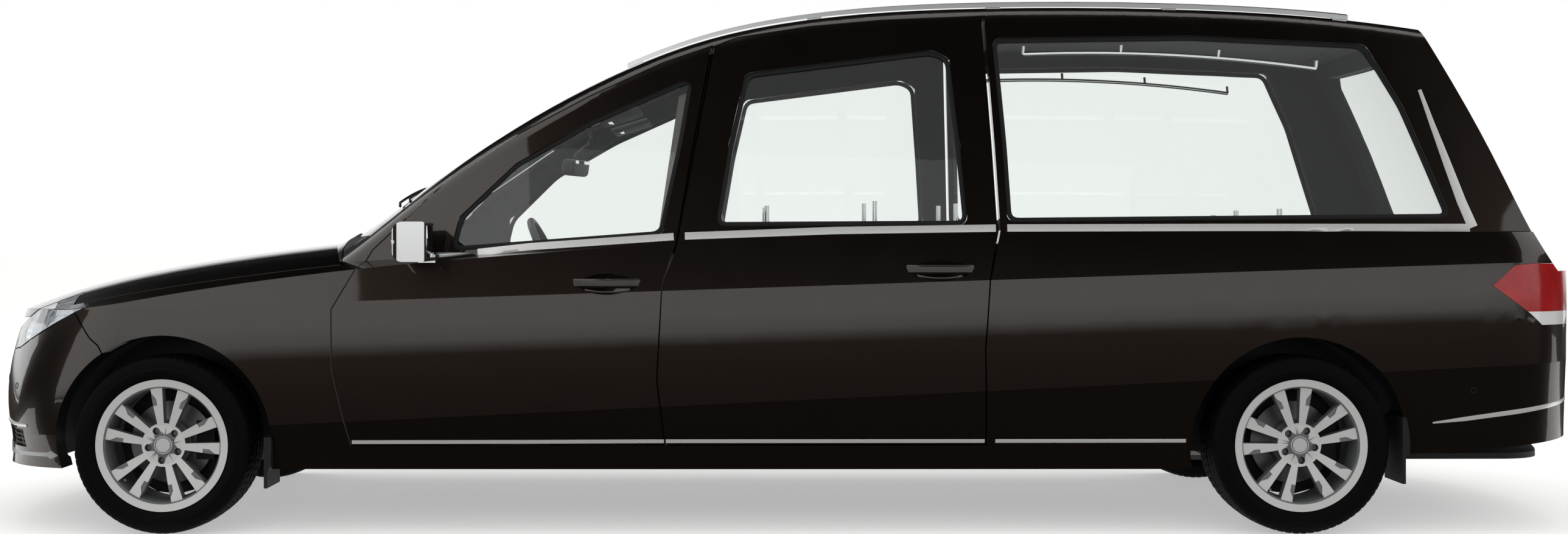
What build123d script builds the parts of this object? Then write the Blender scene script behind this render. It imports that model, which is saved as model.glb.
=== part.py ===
from build123d import *
from math import atan, cos, hypot, pi, radians, sin, sqrt
import os

os.makedirs("parts", exist_ok=True)

# Driving dimensions, mm. Front is toward -X, the left side is -Y, the ground is Z = 0.
wheelbase = 4060
front_overhang = 840
rear_overhang = 1190
body_width = 1854
roof_height = 1942
track = 1600
tyre_radius = 320
tyre_width = 245
bead_radius = 216
front_arch_radius = 392
rear_arch_radius = 386
sill_z = 230
waist_slope = 0.17
side_radius = 6000
door_depth = 95
frame_depth = 44
panel_gap = 5
lens_thickness = 4
lip_z = 262
lip_height = 34
lip_depth = 60
bonnet_depth = 26
glass_thickness = 5
glass_setback = 9

nose_x = -(front_overhang + wheelbase + rear_overhang) / 2
tail_x = -nose_x
front_axle_x = nose_x + front_overhang
rear_axle_x = front_axle_x + wheelbase
axle_z = tyre_radius
half_width = body_width / 2


def lx(x):
    """Length station drawn for the standard axles, moved with the real ones."""
    if x < -2205:
        return front_axle_x + (x + 2205) * front_overhang / 840
    if x > 1855:
        return rear_axle_x + (x - 1855) * rear_overhang / 1190
    return front_axle_x + (x + 2205) * wheelbase / 4060


def wy(y):
    """Cross station drawn for the standard width."""
    return y * body_width / 1854


def hz(z):
    """Height station: all above the sill grows with the roof height."""
    return z if z < 330 else 330 + (z - 330) * (roof_height - 330) / 1612


# Plan sections of the lower body: height at the middle, rise per mm of length, half width,
# setback of the nose and the tail, and how far back each end's corner begins. The side is
# folded along the two creases, where one group of sections ends and the next begins.
plan_rows = [
    (190, 0.000, 850, 112, 92, 560, 400),
    (335, 0.026, 890, 92, 40, 590, 420),
    (480, 0.048, 926, 70, 40, 600, 425),
    (640, 0.044, 929, 42, 84, 610, 425),
    (770, 0.039, 928, 62, 120, 660, 425),
    (885, 0.033, 922, 104, 145, 720, 430),
    (1000, 0.018, 903, 200, 172, 800, 450),
    (1110, 0.000, 881, 330, 200, 860, 500),
]
lower_crease = 2
upper_crease = 5
# Section across the bonnet and waist: station, height at the middle, height at the edge
cap_rows = [
    (-3150, 620, 500),
    (-2950, 772, 645),
    (-2750, 856, 726),
    (-2500, 921, 793),
    (-2200, 975, 850),
    (-1900, 1016, 896),
    (-1600, 1048, 934),
    (-1300, 1070, 966),
    (-1000, 1084, 991),
    (-600, 1094, 1024),
    (-200, 1100, 1050),
    (300, 1105, 1068),
    (800, 1110, 1077),
    (1400, 1112, 1080),
    (2000, 1112, 1080),
    (2600, 1110, 1078),
    (3150, 1106, 1074),
]
# Sections of the glasshouse: station, height at the middle, drop of the crown, half width
house_rows = [
    (-1850, 1005, 96, 700),
    (-1600, 1105, 94, 748),
    (-1300, 1318, 88, 800),
    (-1000, 1510, 80, 838),
    (-650, 1688, 66, 864),
    (-300, 1818, 54, 878),
    (100, 1898, 50, 884),
    (800, 1942, 50, 886),
    (1500, 1937, 50, 882),
    (2050, 1905, 50, 866),
    (2400, 1862, 50, 840),
    (2800, 1798, 50, 792),
]
# Tail surface: height, station at the middle, station at y = 750
tail_rows = [
    (940, 2912, 2822),
    (1080, 2822, 2732),
    (1300, 2714, 2624),
    (1560, 2584, 2492),
    (1800, 2450, 2358),
    (2050, 2300, 2208),
]
side_bow = 18
corner_radius = 78
foot_z = 1000
waist_z = 1072


def plan_outline(width, nose, tail, nose_run, tail_run, inset):
    """Closed plan line: bowed sides, tangent corner arcs and a crowned nose and tail."""
    start = lx(-3045) + nose_run * front_overhang / 840
    stop = lx(3045) - tail_run * rear_overhang / 1190
    half = (stop - start) / 2
    middle = (stop + start) / 2
    bow_radius = (half**2 + side_bow**2) / (2 * side_bow)
    edge = width - side_bow
    ends = []
    for x, radius, tip in ((start, 430, nose), (stop, 280, tail)):
        cx = x + radius * (middle - x) / bow_radius
        cy = edge - radius * (bow_radius - side_bow) / bow_radius
        reach = abs(tip - cx)
        big = (reach**2 + cy**2 - radius**2) / (2 * (reach - radius))
        centre = tip + (big if tip < cx else -big)
        gap = hypot(cx - centre, cy)
        tx = cx + (cx - centre) / gap * radius
        ty = cy * (1 + radius / gap)
        mx, my = x - cx + tx - cx, edge - cy + ty - cy
        size = hypot(mx, my)
        r = radius - inset
        k = r / radius
        ends.append((
            (cx + (x - cx) * k, cy + (edge - cy) * k),
            (cx + mx / size * r, cy + my / size * r),
            (cx + (tx - cx) * k, cy + (ty - cy) * k),
            tip + (inset if tip < cx else -inset),
        ))
    (a, am, at, tip_a), (b, bm, bt, tip_b) = ends
    with BuildLine() as line:
        for s in (-1, 1):
            ThreePointArc((a[0], s * a[1]), (middle, s * (width - inset)), (b[0], s * b[1]))
            ThreePointArc((a[0], s * a[1]), (am[0], s * am[1]), (at[0], s * at[1]))
            ThreePointArc((b[0], s * b[1]), (bm[0], s * bm[1]), (bt[0], s * bt[1]))
        ThreePointArc((at[0], -at[1]), (tip_a, 0), at)
        ThreePointArc((bt[0], -bt[1]), (tip_b, 0), bt)
    return line.line


def lower_body(inset, end_inset, folded=False):
    last = len(plan_rows) - 1
    folds = [0, lower_crease, upper_crease, last] if folded else [0, last]
    with BuildPart() as body:
        for first, final in zip(folds, folds[1:]):
            for z, rise, w, ns, ts, nr, tr in plan_rows[first:final + 1]:
                level = Plane(origin=(0, 0, hz(z)), x_dir=(1, 0, rise), z_dir=(-rise, 0, 1))
                with BuildSketch(level):
                    add(plan_outline(wy(w), nose_x + ns + end_inset - inset, tail_x - ts - end_inset + inset,
                                     nr, tr, inset))
                    make_face()
            loft()
    return body.part


def cap(inset):
    with BuildPart() as body:
        for x, zc, ze in cap_rows:
            with BuildSketch(Plane.YZ.offset(lx(x))):
                with BuildLine():
                    w = wy(960)
                    drop = (zc - ze) * 1.1
                    Polyline((-w, hz(zc - drop) - inset), (-w, 100), (w, 100), (w, hz(zc - drop) - inset))
                    ThreePointArc((-w, hz(zc - drop) - inset), (0, hz(zc) - inset), (w, hz(zc - drop) - inset))
                make_face()
        loft()
    return body.part


def house(inset):
    tilt = atan(waist_slope)
    with BuildPart() as body:
        for x, zc, drop, w in house_rows:
            top, half = hz(zc), wy(w)
            side = (half - side_radius * cos(tilt), hz(waist_z) - side_radius * sin(tilt))
            reach = half - 110
            crown_radius = (reach**2 + drop**2) / (2 * drop)
            crown = (0, top - crown_radius)
            round_r = max(corner_radius - inset, 14)
            ra, rb = side_radius - inset - round_r, crown_radius - inset - round_r
            dy, dz = crown[0] - side[0], crown[1] - side[1]
            gap = hypot(dy, dz)
            run = (ra**2 - rb**2 + gap**2) / (2 * gap)
            off = sqrt(ra**2 - run**2)
            options = [(side[0] + (dy * run - s * dz * off) / gap, side[1] + (dz * run + s * dy * off) / gap)
                       for s in (-1, 1)]
            c = max(options, key=lambda p: p[0] + p[1])
            k = (side_radius - inset) / ra
            t1 = (side[0] + (c[0] - side[0]) * k, side[1] + (c[1] - side[1]) * k)
            k = (crown_radius - inset) / rb
            t2 = (crown[0] + (c[0] - crown[0]) * k, crown[1] + (c[1] - crown[1]) * k)
            m = (t1[0] + t2[0] - 2 * c[0], t1[1] + t2[1] - 2 * c[1])
            k = round_r / hypot(*m)
            mid = (c[0] + m[0] * k, c[1] + m[1] * k)
            base = min(foot_z, zc - drop - 160) - min(inset, frame_depth) / 2
            foot = (side[0] + sqrt((side_radius - inset)**2 - (base - side[1])**2), base)
            low = (foot[1] + t1[1]) / 2
            flank = (side[0] + sqrt((side_radius - inset)**2 - (low - side[1])**2), low)
            with BuildSketch(Plane.YZ.offset(lx(x))):
                with BuildLine():
                    Line((-foot[0], foot[1]), foot)
                    ThreePointArc(t2, (0, top - inset), (-t2[0], t2[1]))
                    for s in (-1, 1):
                        ThreePointArc((s * foot[0], foot[1]), (s * flank[0], flank[1]), (s * t1[0], t1[1]))
                        ThreePointArc((s * t1[0], t1[1]), (s * mid[0], mid[1]), (s * t2[0], t2[1]))
                make_face()
        loft()
    return body.part


def tail_cutter(inset):
    with BuildPart() as body:
        for z, xm, xs in tail_rows:
            with BuildSketch(Plane.XY.offset(hz(z))):
                with BuildLine():
                    xe = lx(xm) - (lx(xm) - lx(xs)) * (1000 / 750)**2 - inset
                    far = tail_x + 600
                    Polyline((xe, -1000), (far, -1000), (far, 1000), (xe, 1000))
                    ThreePointArc((xe, -1000), (lx(xm) - inset, 0), (xe, 1000))
                make_face()
        loft()
    return body.part


def side_prism(points, grow=0, near=250, far=1100, soft=0):
    """Left-hand prism through a side-view outline of (x, z) points, its corners rounded if soft."""
    with BuildPart() as body:
        with BuildSketch(Plane.XZ.offset(near)) as outline:
            with BuildLine():
                Polyline([(lx(x), hz(z)) for x, z in points], close=True)
            make_face()
            if grow:
                offset(amount=grow, kind=Kind.INTERSECTION)
            if soft:
                fillet(outline.vertices(), soft)
        extrude(amount=far - near)
    return body.part


def across_prism(points, half=1100, grow=0):
    """Prism through the whole width from a side-view outline."""
    with BuildPart() as body:
        with BuildSketch(Plane.XZ):
            with BuildLine():
                Polyline([(lx(x), hz(z)) for x, z in points], close=True)
            make_face()
            if grow:
                offset(amount=grow, kind=Kind.INTERSECTION)
        extrude(amount=half, both=True)
    return body.part


def plan_prism(points, z0, z1, grow=0):
    """Upright prism from half a plan outline, (x, y) points mirrored over the middle."""
    with BuildPart() as body:
        with BuildSketch(Plane.XY.offset(z0)):
            with BuildLine():
                right = [(lx(x), wy(y)) for x, y in points]
                Polyline(right + [(x, -y) for x, y in reversed(right) if y], close=True)
            make_face()
            if grow:
                offset(amount=grow, kind=Kind.INTERSECTION)
        extrude(amount=z1 - z0)
    return body.part


def rear_prism(points, x0, x1, grow=0):
    """Prism along the car from half a rear-view outline, (y, z) points mirrored."""
    with BuildPart() as body:
        with BuildSketch(Plane.YZ.offset(x0)):
            with BuildLine():
                right = [(wy(y), hz(z)) for y, z in points]
                Polyline(right + [(-y, z) for y, z in reversed(right) if y], close=True)
            make_face()
            if grow:
                offset(amount=grow, kind=Kind.INTERSECTION)
        extrude(amount=x1 - x0)
    return body.part


def block(x0, x1, y0, y1, z0, z1):
    with BuildPart() as body:
        with Locations(((x0 + x1) / 2, (y0 + y1) / 2, (z0 + z1) / 2)):
            Box(x1 - x0, y1 - y0, z1 - z0)
    return body.part


def drum(x, z, radius, y0, y1):
    with BuildPart() as body:
        with BuildSketch(Plane.XZ.offset(-y0)):
            with Locations((x, z)):
                Circle(radius)
        extrude(amount=-(y1 - y0))
    return body.part


def skin(inset, end_inset, cap_inset, house_inset, tail_inset):
    back = tail_cutter(tail_inset)
    body = lower_body(inset, end_inset, inset == 0)
    return ((body & cap(cap_inset)) - back) + (house(house_inset) - back)


outer = skin(0, 0, 0, 0, 0)
inner = skin(door_depth, 60, 32, frame_depth, 55)
shell = outer - inner - block(-4000, 4000, -1100, 1100, 0, sill_z)
arches = [
    drum(x, axle_z, r, y0, y1)
    for x, r in ((front_axle_x, front_arch_radius), (rear_axle_x, rear_arch_radius))
    for y0, y1 in ((-1100, -480), (480, 1100))
]
for arch in arches:
    shell = shell - arch

# Side-view outlines of the parting lines
front_door = [
    (-1532, 323), (-1595, 589), (-1599, 804), (-1506, 964), (-1475, 1015), (-1222, 1252), (-956, 1432),
    (-690, 1574), (-423, 1698), (-250, 1758), (-257, 1727), (-326, 1342), (-376, 1035), (-425, 892),
    (-443, 555), (-415, 323),
]
rear_door = [
    (-410, 323), (-438, 555), (-420, 892), (-369, 1035), (-313, 1342), (-243, 1727), (-236, 1759),
    (-157, 1790), (109, 1832), (375, 1856), (745, 1872), (741, 1835), (763, 1398), (776, 1087), (744, 910),
    (726, 661), (733, 323),
]
front_glass = [(-1190, 1010), (-1160, 1135), (-956, 1330), (-690, 1482), (-310, 1650), (-350, 1400), (-420, 1070)]
rear_glass = [(-235, 1100), (-185, 1400), (-125, 1660), (560, 1745), (620, 1715), (650, 1400), (672, 1105)]
quarter_glass = [(812, 1115), (800, 1400), (775, 1790), (1500, 1800), (2150, 1770), (2270, 1540), (2420, 1130)]
bumper_front = [
    (-3300, 100), (-2330, 100), (-2330, 480), (-2436, 674), (-2470, 702), (-2535, 788), (-2821, 650),
    (-2900, 634), (-3300, 634),
]
lamp_front = [(-2490, 812), (-2540, 790), (-2821, 654), (-2900, 638), (-3300, 638), (-3300, 722), (-2880, 722),
              (-2746, 790), (-2609, 852)]
bonnet_plan = [(-1690, 0), (-1640, 500), (-1590, 800), (-2000, 792), (-2500, 774), (-2660, 742), (-2790, 640),
               (-3300, 640)]
bonnet_side = [(-1500, 700), (-2460, 700), (-2540, 800), (-2609, 856), (-2746, 794), (-2880, 726), (-3300, 726),
               (-3300, 1300), (-1500, 1300)]
screen_plan = [(-1660, 0), (-1600, 450), (-1500, 700), (-560, 605), (-420, 560), (-440, 0)]
roof_plan = [(-436, 0), (-416, 560), (-300, 640), (2200, 640), (2280, 600), (2300, 0)]
gate_rear = [(0, 748), (580, 748), (585, 800), (585, 968), (742, 985), (742, 1080), (632, 1846), (0, 1880)]
gate_opening = [(637, z) if z == 1846 else (y, z) for y, z in gate_rear]
gate_glass_rear = [(0, 1110), (660, 1110), (668, 1150), (575, 1700), (540, 1740), (0, 1755)]
bumper_rear = [(2040, 100), (3300, 100), (3300, 744), (2720, 744), (2629, 776), (2528, 718), (2040, 668)]
bumper_rise = [(2150, 100), (2250, 285), (2420, 290), (2960, 345), (3300, 385), (3300, 100)]
grille_outline = [(0, 552), (348, 552), (386, 690), (376, 720), (0, 720)]
intake_side = [(-3300, 300), (-2737, 300), (-2748, 366), (-3300, 372)]
lamp_rear = [(2536, 890), (2620, 964), (2700, 970), (3300, 960), (3300, 748), (2722, 748), (2673, 790)]

rear_opening = [(x + 6, z) if x > 600 and z > 1000 else (x, z) for x, z in rear_door]

floor_top = 275
kingpin_y = track / 2 - 60
wheel_y = track / 2
deck_z = 1040
door_hinge_y = wy(928)
front_hinge_x = lx(-1536)
rear_hinge_x = lx(-412)


def mirrored(solid):
    return solid.mirror(Plane.XZ)


# Door handles: station, distance of the skin from the middle plane, height
front_handle = (lx(-618), wy(915), hz(899))
rear_handle = (lx(569), wy(914), hz(948))
handle_half = 118
handle_bow = 24
recess_half = 150
recess_radius = 46
recess_out = 25
pane_corner = 32


def handle_recess(place):
    """Long lens-shaped hollow behind the fingers."""
    x, y, z = place
    line_y = -(y + recess_out)
    with BuildPart() as body:
        with BuildSketch(Plane.XY.offset(z)):
            with BuildLine():
                Line((x - recess_half, line_y), (x + recess_half, line_y))
                ThreePointArc((x - recess_half, line_y), (x, line_y + recess_radius), (x + recess_half, line_y))
            make_face()
        revolve(axis=Axis((x, line_y, z), (1, 0, 0)))
    return body.part


def handle_bar(place):
    """Bowed grip, flatter than it is high, rooted in the skin at both ends."""
    x, y, z = place
    with BuildPart() as body:
        with BuildLine() as path:
            ThreePointArc((x - handle_half, -(y - 7), z), (x, -(y - 7 + handle_bow), z),
                          (x + handle_half, -(y - 7), z))
        with BuildSketch(Plane(origin=path.line @ 0, x_dir=(0, 0, 1), z_dir=path.line % 0)):
            RectangleRounded(32, 13, 6)
        sweep()
    return body.part


# Bonnet, a thin crowned panel over the engine bay
with BuildPart() as bonnet:
    add(outer - cap(bonnet_depth))
    add(plan_prism(bonnet_plan, 600, 1300), mode=Mode.INTERSECT)
    add(across_prism(bonnet_side), mode=Mode.INTERSECT)
bonnet_room = plan_prism(bonnet_plan, 600, 1300, panel_gap) & across_prism(bonnet_side, 1100, panel_gap)

# Doors: whole thickness below the waist, a frame round the glass above it
with BuildPart() as door_front_left:
    add(shell)
    add(side_prism(front_door, 0, wy(648)), mode=Mode.INTERSECT)
    add(side_prism(front_glass, 0, 250, 1100, pane_corner), mode=Mode.SUBTRACT)
    add(handle_recess(front_handle), mode=Mode.SUBTRACT)
    add(handle_bar(front_handle))
with BuildPart() as door_rear_left:
    add(shell)
    add(side_prism(rear_door, 0, wy(648)), mode=Mode.INTERSECT)
    add(side_prism(rear_glass, 0, 250, 1100, pane_corner), mode=Mode.SUBTRACT)
    add(handle_recess(rear_handle), mode=Mode.SUBTRACT)
    add(handle_bar(rear_handle))
with BuildPart() as door_front_right:
    add(mirrored(door_front_left.part))
with BuildPart() as door_rear_right:
    add(mirrored(door_rear_left.part))

# Glass follows the glasshouse a little behind its surface
glass_face = house(glass_setback)
glass_back = house(glass_setback + glass_thickness)
with BuildPart() as glass_front_left:
    add(glass_face)
    add(side_prism(front_glass, 0, 250, 1100, pane_corner), mode=Mode.INTERSECT)
    add(glass_back, mode=Mode.SUBTRACT)
with BuildPart() as glass_rear_left:
    add(glass_face)
    add(side_prism(rear_glass, 0, 250, 1100, pane_corner), mode=Mode.INTERSECT)
    add(glass_back, mode=Mode.SUBTRACT)
with BuildPart() as glass_front_right:
    add(mirrored(glass_front_left.part))
with BuildPart() as glass_rear_right:
    add(mirrored(glass_rear_left.part))
with BuildPart() as quarter_windows:
    add(glass_face)
    add(side_prism(quarter_glass, 0, 250, 1100, pane_corner), mode=Mode.INTERSECT)
    add(glass_back, mode=Mode.SUBTRACT)
    add(mirrored(quarter_windows.part))
with BuildPart() as windscreen:
    add(glass_face)
    add(plan_prism(screen_plan, hz(1040), 2100), mode=Mode.INTERSECT)
    add(glass_back, mode=Mode.SUBTRACT)

# Tailgate
gate_body = shell & rear_prism(gate_rear, lx(2290), tail_x + 200)
with BuildPart() as tailgate:
    add(gate_body)
    add(rear_prism(gate_glass_rear, lx(2200), tail_x + 200), mode=Mode.SUBTRACT)
    add(block(lx(2903), tail_x + 200, -265, 265, hz(797), hz(909)), mode=Mode.SUBTRACT)
tail_layer = tail_cutter(glass_setback + glass_thickness) - tail_cutter(glass_setback)
with BuildPart() as tailgate_glass:
    add(tail_layer)
    add(rear_prism(gate_glass_rear, lx(2200), tail_x + 200), mode=Mode.INTERSECT)
gate_room = rear_prism(gate_opening, lx(2290) - panel_gap, tail_x + 200, panel_gap)

# Rear bumper and tail lamps
with BuildPart() as bumper_back:
    add(shell)
    add(across_prism(bumper_rear), mode=Mode.INTERSECT)
    add(across_prism(bumper_rise), mode=Mode.SUBTRACT)
with BuildPart() as lamp_blocks:
    add(shell)
    add(side_prism(lamp_rear, -1, wy(590)), mode=Mode.INTERSECT)
    add(mirrored(lamp_blocks.part))
lower_lamp = block(0, tail_x + 200, -1100, 1100, hz(700), hz(797))
with BuildPart() as tail_lamps:
    add(lamp_blocks.part)
    add(lower_lamp, mode=Mode.SUBTRACT)
with BuildPart() as reversing_lamps:
    add(lamp_blocks.part)
    add(lower_lamp, mode=Mode.INTERSECT)

# Front bumper with its slatted intakes and lip
intake = across_prism(intake_side)
for y in (-wy(590), wy(520)):
    intake = intake - block(nose_x - 300, 0, y, y + wy(70), 0, 1000)
with BuildPart() as front_lip:
    with BuildSketch(Plane.XY.offset(lip_z)):
        for depth, way in ((0, Mode.ADD), (lip_depth, Mode.SUBTRACT)):
            with BuildLine():
                add(plan_outline(wy(886), nose_x + 66 + depth, tail_x - 60 - depth, 590, 410, depth))
            make_face(mode=way)
    extrude(amount=lip_height)
    add(block(nose_x - 100, lx(-2640), -1100, 1100, 0, 1000), mode=Mode.INTERSECT)
with BuildPart() as bumper_nose:
    add(shell)
    add(across_prism(bumper_front), mode=Mode.INTERSECT)
    add(rear_prism(grille_outline, nose_x - 100, lx(-2700)), mode=Mode.SUBTRACT)
    add(intake, mode=Mode.SUBTRACT)
    add(front_lip.part)
intake_wall = shell & intake
with BuildPart() as intake_slats:
    for z in (312, 328, 344, 360):
        add(block(nose_x - 100, 0, -1100, 1100, hz(z) - 3, hz(z) + 3))
    for y in (-740, -660, -390, -260, -130, 0, 130, 260, 390, 660, 740):
        add(block(nose_x - 100, 0, wy(y) - 4, wy(y) + 4, 0, 1000))
    add(intake_wall, mode=Mode.INTERSECT)
    add(intake_wall.moved(Location((10, 0, 0))), mode=Mode.INTERSECT)

# Headlamps: a clear cover over a housing with two bowls a side. Bowl: station, cross, height, radius
bowl_rows = [(-2862, 500, 684, 38), (-2778, 640, 722, 44)]
with BuildPart() as lamp_noses:
    add(shell)
    add(side_prism(lamp_front, -1, wy(388)), mode=Mode.INTERSECT)
    add(bonnet_room, mode=Mode.SUBTRACT)
lamp_core = lower_body(lens_thickness, lens_thickness, True) & cap(lens_thickness)
with BuildPart() as headlamp_lenses:
    add(lamp_noses.part)
    add(lamp_core, mode=Mode.SUBTRACT)
    add(mirrored(headlamp_lenses.part))
with BuildPart() as headlamps:
    add(lamp_noses.part)
    add(lamp_core, mode=Mode.INTERSECT)
    for x, y, z, radius in bowl_rows:
        with Locations((lx(x), -wy(y), hz(z))):
            Sphere(radius, mode=Mode.SUBTRACT)
    add(mirrored(headlamps.part))

# Grille: a plated surround with five bars set back in it
grille_block = shell & rear_prism(grille_outline, nose_x - 100, lx(-2700), -0.3)
grille_mouth = rear_prism(grille_outline, nose_x - 100, lx(-2700), -20)
with BuildPart() as grille:
    for i in range(5):
        z = hz(578 + 30 * i)
        add(block(nose_x - 100, 0, -1100, 1100, z - 6, z + 6))
    add(grille_block, mode=Mode.INTERSECT)
    add(grille_block.moved(Location((16, 0, 0))), mode=Mode.INTERSECT)
    add(grille_block - grille_mouth)

# Roof between the cantrails
with BuildPart() as roof:
    add(shell)
    add(plan_prism(roof_plan, hz(1500), 2200), mode=Mode.INTERSECT)
    add(gate_room, mode=Mode.SUBTRACT)

# Body sides: pillars, sill, cantrail and rear quarter
left_half = shell & block(-4000, 4000, -1100, 0, 0, 3000)
for room in (
    side_prism(front_door, panel_gap, wy(640)),
    side_prism(rear_opening, panel_gap, wy(640)),
    side_prism(quarter_glass, 0, 250, 1100, pane_corner),
    plan_prism(roof_plan, hz(1500), 2200),
    plan_prism(screen_plan, hz(1040), 2100),
    across_prism(bumper_rear),
    side_prism(lamp_rear, 0, wy(585)),
    gate_room,
    across_prism(bumper_front, 1100, panel_gap),
    across_prism(lamp_front, 1100, panel_gap),
    block(nose_x - 100, lx(-2690), -1100, 1100, 0, 1200),
    bonnet_room,
):
    left_half = left_half - room
left_half = Compound([piece for piece in left_half.solids() if piece.volume > 200000])
wing_edge = [(-3300, 100), (-1540, 100), (-1540, 322), (-1500, 322), (-1500, 975), (-1530, 1300), (-3300, 1300)]
wing_room = side_prism(wing_edge, 0, wy(600))
cowl_room = block(lx(-1800), lx(-1480), -wy(600), wy(600), hz(900), hz(1200))
with BuildPart() as wing_left:
    add(left_half)
    add(wing_room, mode=Mode.INTERSECT)

# The middle post stands inside the doors, clear of their swinging edges
post_high = [(-450, 1002), (-340, 1002), (-210, 1850), (-330, 1850)]
lining = house(90)
post_foot = (block(lx(-470), lx(-350), -wy(782), -wy(738), sill_z + 10, hz(1010))
             + block(lx(-470), lx(-350), -wy(800), -wy(738), sill_z + 10, 312)
             + block(lx(-460), lx(-350), -wy(798), -wy(738), hz(940), hz(1010))
             + block(lx(-460), lx(-350), -wy(820), -wy(738), hz(1002), hz(1030)))
with BuildPart() as post:
    add(house(58))
    add(side_prism(post_high, 0, wy(560)), mode=Mode.INTERSECT)
    add(lining, mode=Mode.SUBTRACT)
with BuildPart() as post_head:
    add(house(frame_depth))
    add(block(lx(-335), lx(-215), -wy(635), -wy(540), hz(1500), hz(1900)), mode=Mode.INTERSECT)
    add(lining, mode=Mode.SUBTRACT)
with BuildPart() as side_left:
    add(left_half)
    add(wing_room, mode=Mode.SUBTRACT)
    add(cowl_room, mode=Mode.SUBTRACT)
    add(post_foot)
    add(post.part)
    add(post_head.part)
with BuildPart() as side_right:
    add(mirrored(side_left.part))
with BuildPart() as wing_right:
    add(mirrored(wing_left.part))
with BuildPart() as cowl:
    add(shell)
    add(cowl_room, mode=Mode.INTERSECT)
    add(bonnet_room, mode=Mode.SUBTRACT)
    add(plan_prism(screen_plan, hz(1040), 2100), mode=Mode.SUBTRACT)

# Floor with its rails, the hump over the final drive, and the bulkhead
rail_rows = [
    (-2890, -1560, 300, 400), (-1610, -1545, 215, 400), (-1610, 1500, 215, 253), (1440, 1500, 215, 450),
    (1440, 2280, 390, 450), (2220, 2280, 300, 450), (2220, 2900, 300, 370),
]
bonnet_rest = cap(bonnet_depth + 0.3)
with BuildPart() as floor:
    add(block(lx(-1560), lx(2930), -1000, 1000, floor_top - 22, floor_top))
    for side in (-1, 1):
        y0, y1 = sorted((side * 380, side * 450))
        for x0, x1, z0, z1 in rail_rows:
            add(block(lx(x0), lx(x1), y0, y1, z0, z1))
    add(block(lx(-2900), lx(-2850), -600, 600, 300, 420))
    add(block(lx(-2940), lx(-2660), -wy(700), wy(700), hz(640), hz(702)))
    add(block(lx(-2780), lx(-2600), -wy(640), wy(640), hz(600), hz(702)), mode=Mode.SUBTRACT)
    for y in (-540, 500):
        add(block(lx(-2900), lx(-2850), y, y + 40, 400, hz(702)))
    add(block(lx(-1560), lx(-1540), -wy(790), wy(790), floor_top, hz(1000)))
    for y in (-560, 520):
        add(block(lx(-1680), lx(-1550), y, y + 40, hz(880), hz(910)))
    add(block(rear_axle_x - 180, rear_axle_x + 180, -210, 210, floor_top, 450))
    add(block(rear_axle_x - 160, rear_axle_x + 160, -190, 190, 150, 430), mode=Mode.SUBTRACT)
    add(block(rear_axle_x - 40, rear_axle_x + 40, -230, 230, 200, 360), mode=Mode.SUBTRACT)
    add(inner, mode=Mode.INTERSECT)
    for arch in arches:
        add(arch, mode=Mode.SUBTRACT)
    add(post_foot, mode=Mode.SUBTRACT)
    add(mirrored(post_foot), mode=Mode.SUBTRACT)
    for x, z, y in ((-2800, 660, 340), (-1650, 905, 540)):
        for side in (-1, 1):
            with Locations((lx(x), side * y, hz(z))):
                Cylinder(12, 400, align=(Align.CENTER, Align.CENTER, Align.MIN))
    add(bonnet_rest, mode=Mode.INTERSECT)
with BuildPart() as arch_liners:
    for x, r in ((front_axle_x, front_arch_radius), (rear_axle_x, rear_arch_radius)):
        add(drum(x, axle_z, r + 5, -wy(900), -480))
        add(drum(x, axle_z, r, -wy(900), -484), mode=Mode.SUBTRACT)
        add(block(x - 120, x + 120, -500, -470, 0, 500), mode=Mode.SUBTRACT)
    add(block(-4000, 4000, -1100, 0, 0, floor_top), mode=Mode.SUBTRACT)
    add(inner, mode=Mode.INTERSECT)
    add(mirrored(arch_liners.part))

# Coffin deck behind the front seats with its rails and pins
with BuildPart() as deck:
    add(inner)
    add(block(lx(-130), lx(2700), -1000, 1000, hz(deck_z) - 30, hz(deck_z)), mode=Mode.INTERSECT)
    add(tail_cutter(80), mode=Mode.SUBTRACT)
    for x in (-100, 620, 2300):
        add(block(lx(x) - 20, lx(x) + 20, -370, 370, floor_top, hz(deck_z) - 30))
pin_rows = [(-41, 132, 9), (375, 150, 9), (687, 140, 9), (1680, 96, 9), (1935, 120, 11)]
with BuildPart() as deck_fittings:
    for side in (-1, 1):
        y0, y1 = sorted((side * 318, side * 346))
        add(block(lx(-110), lx(2660), y0, y1, hz(deck_z), hz(deck_z) + 10))
        for x, height, radius in pin_rows:
            with Locations((lx(x), side * 332, hz(deck_z) + 10)):
                Cylinder(radius, height, align=(Align.CENTER, Align.CENTER, Align.MIN))
                Cylinder(radius + 14, 26, align=(Align.CENTER, Align.CENTER, Align.MIN))

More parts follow.
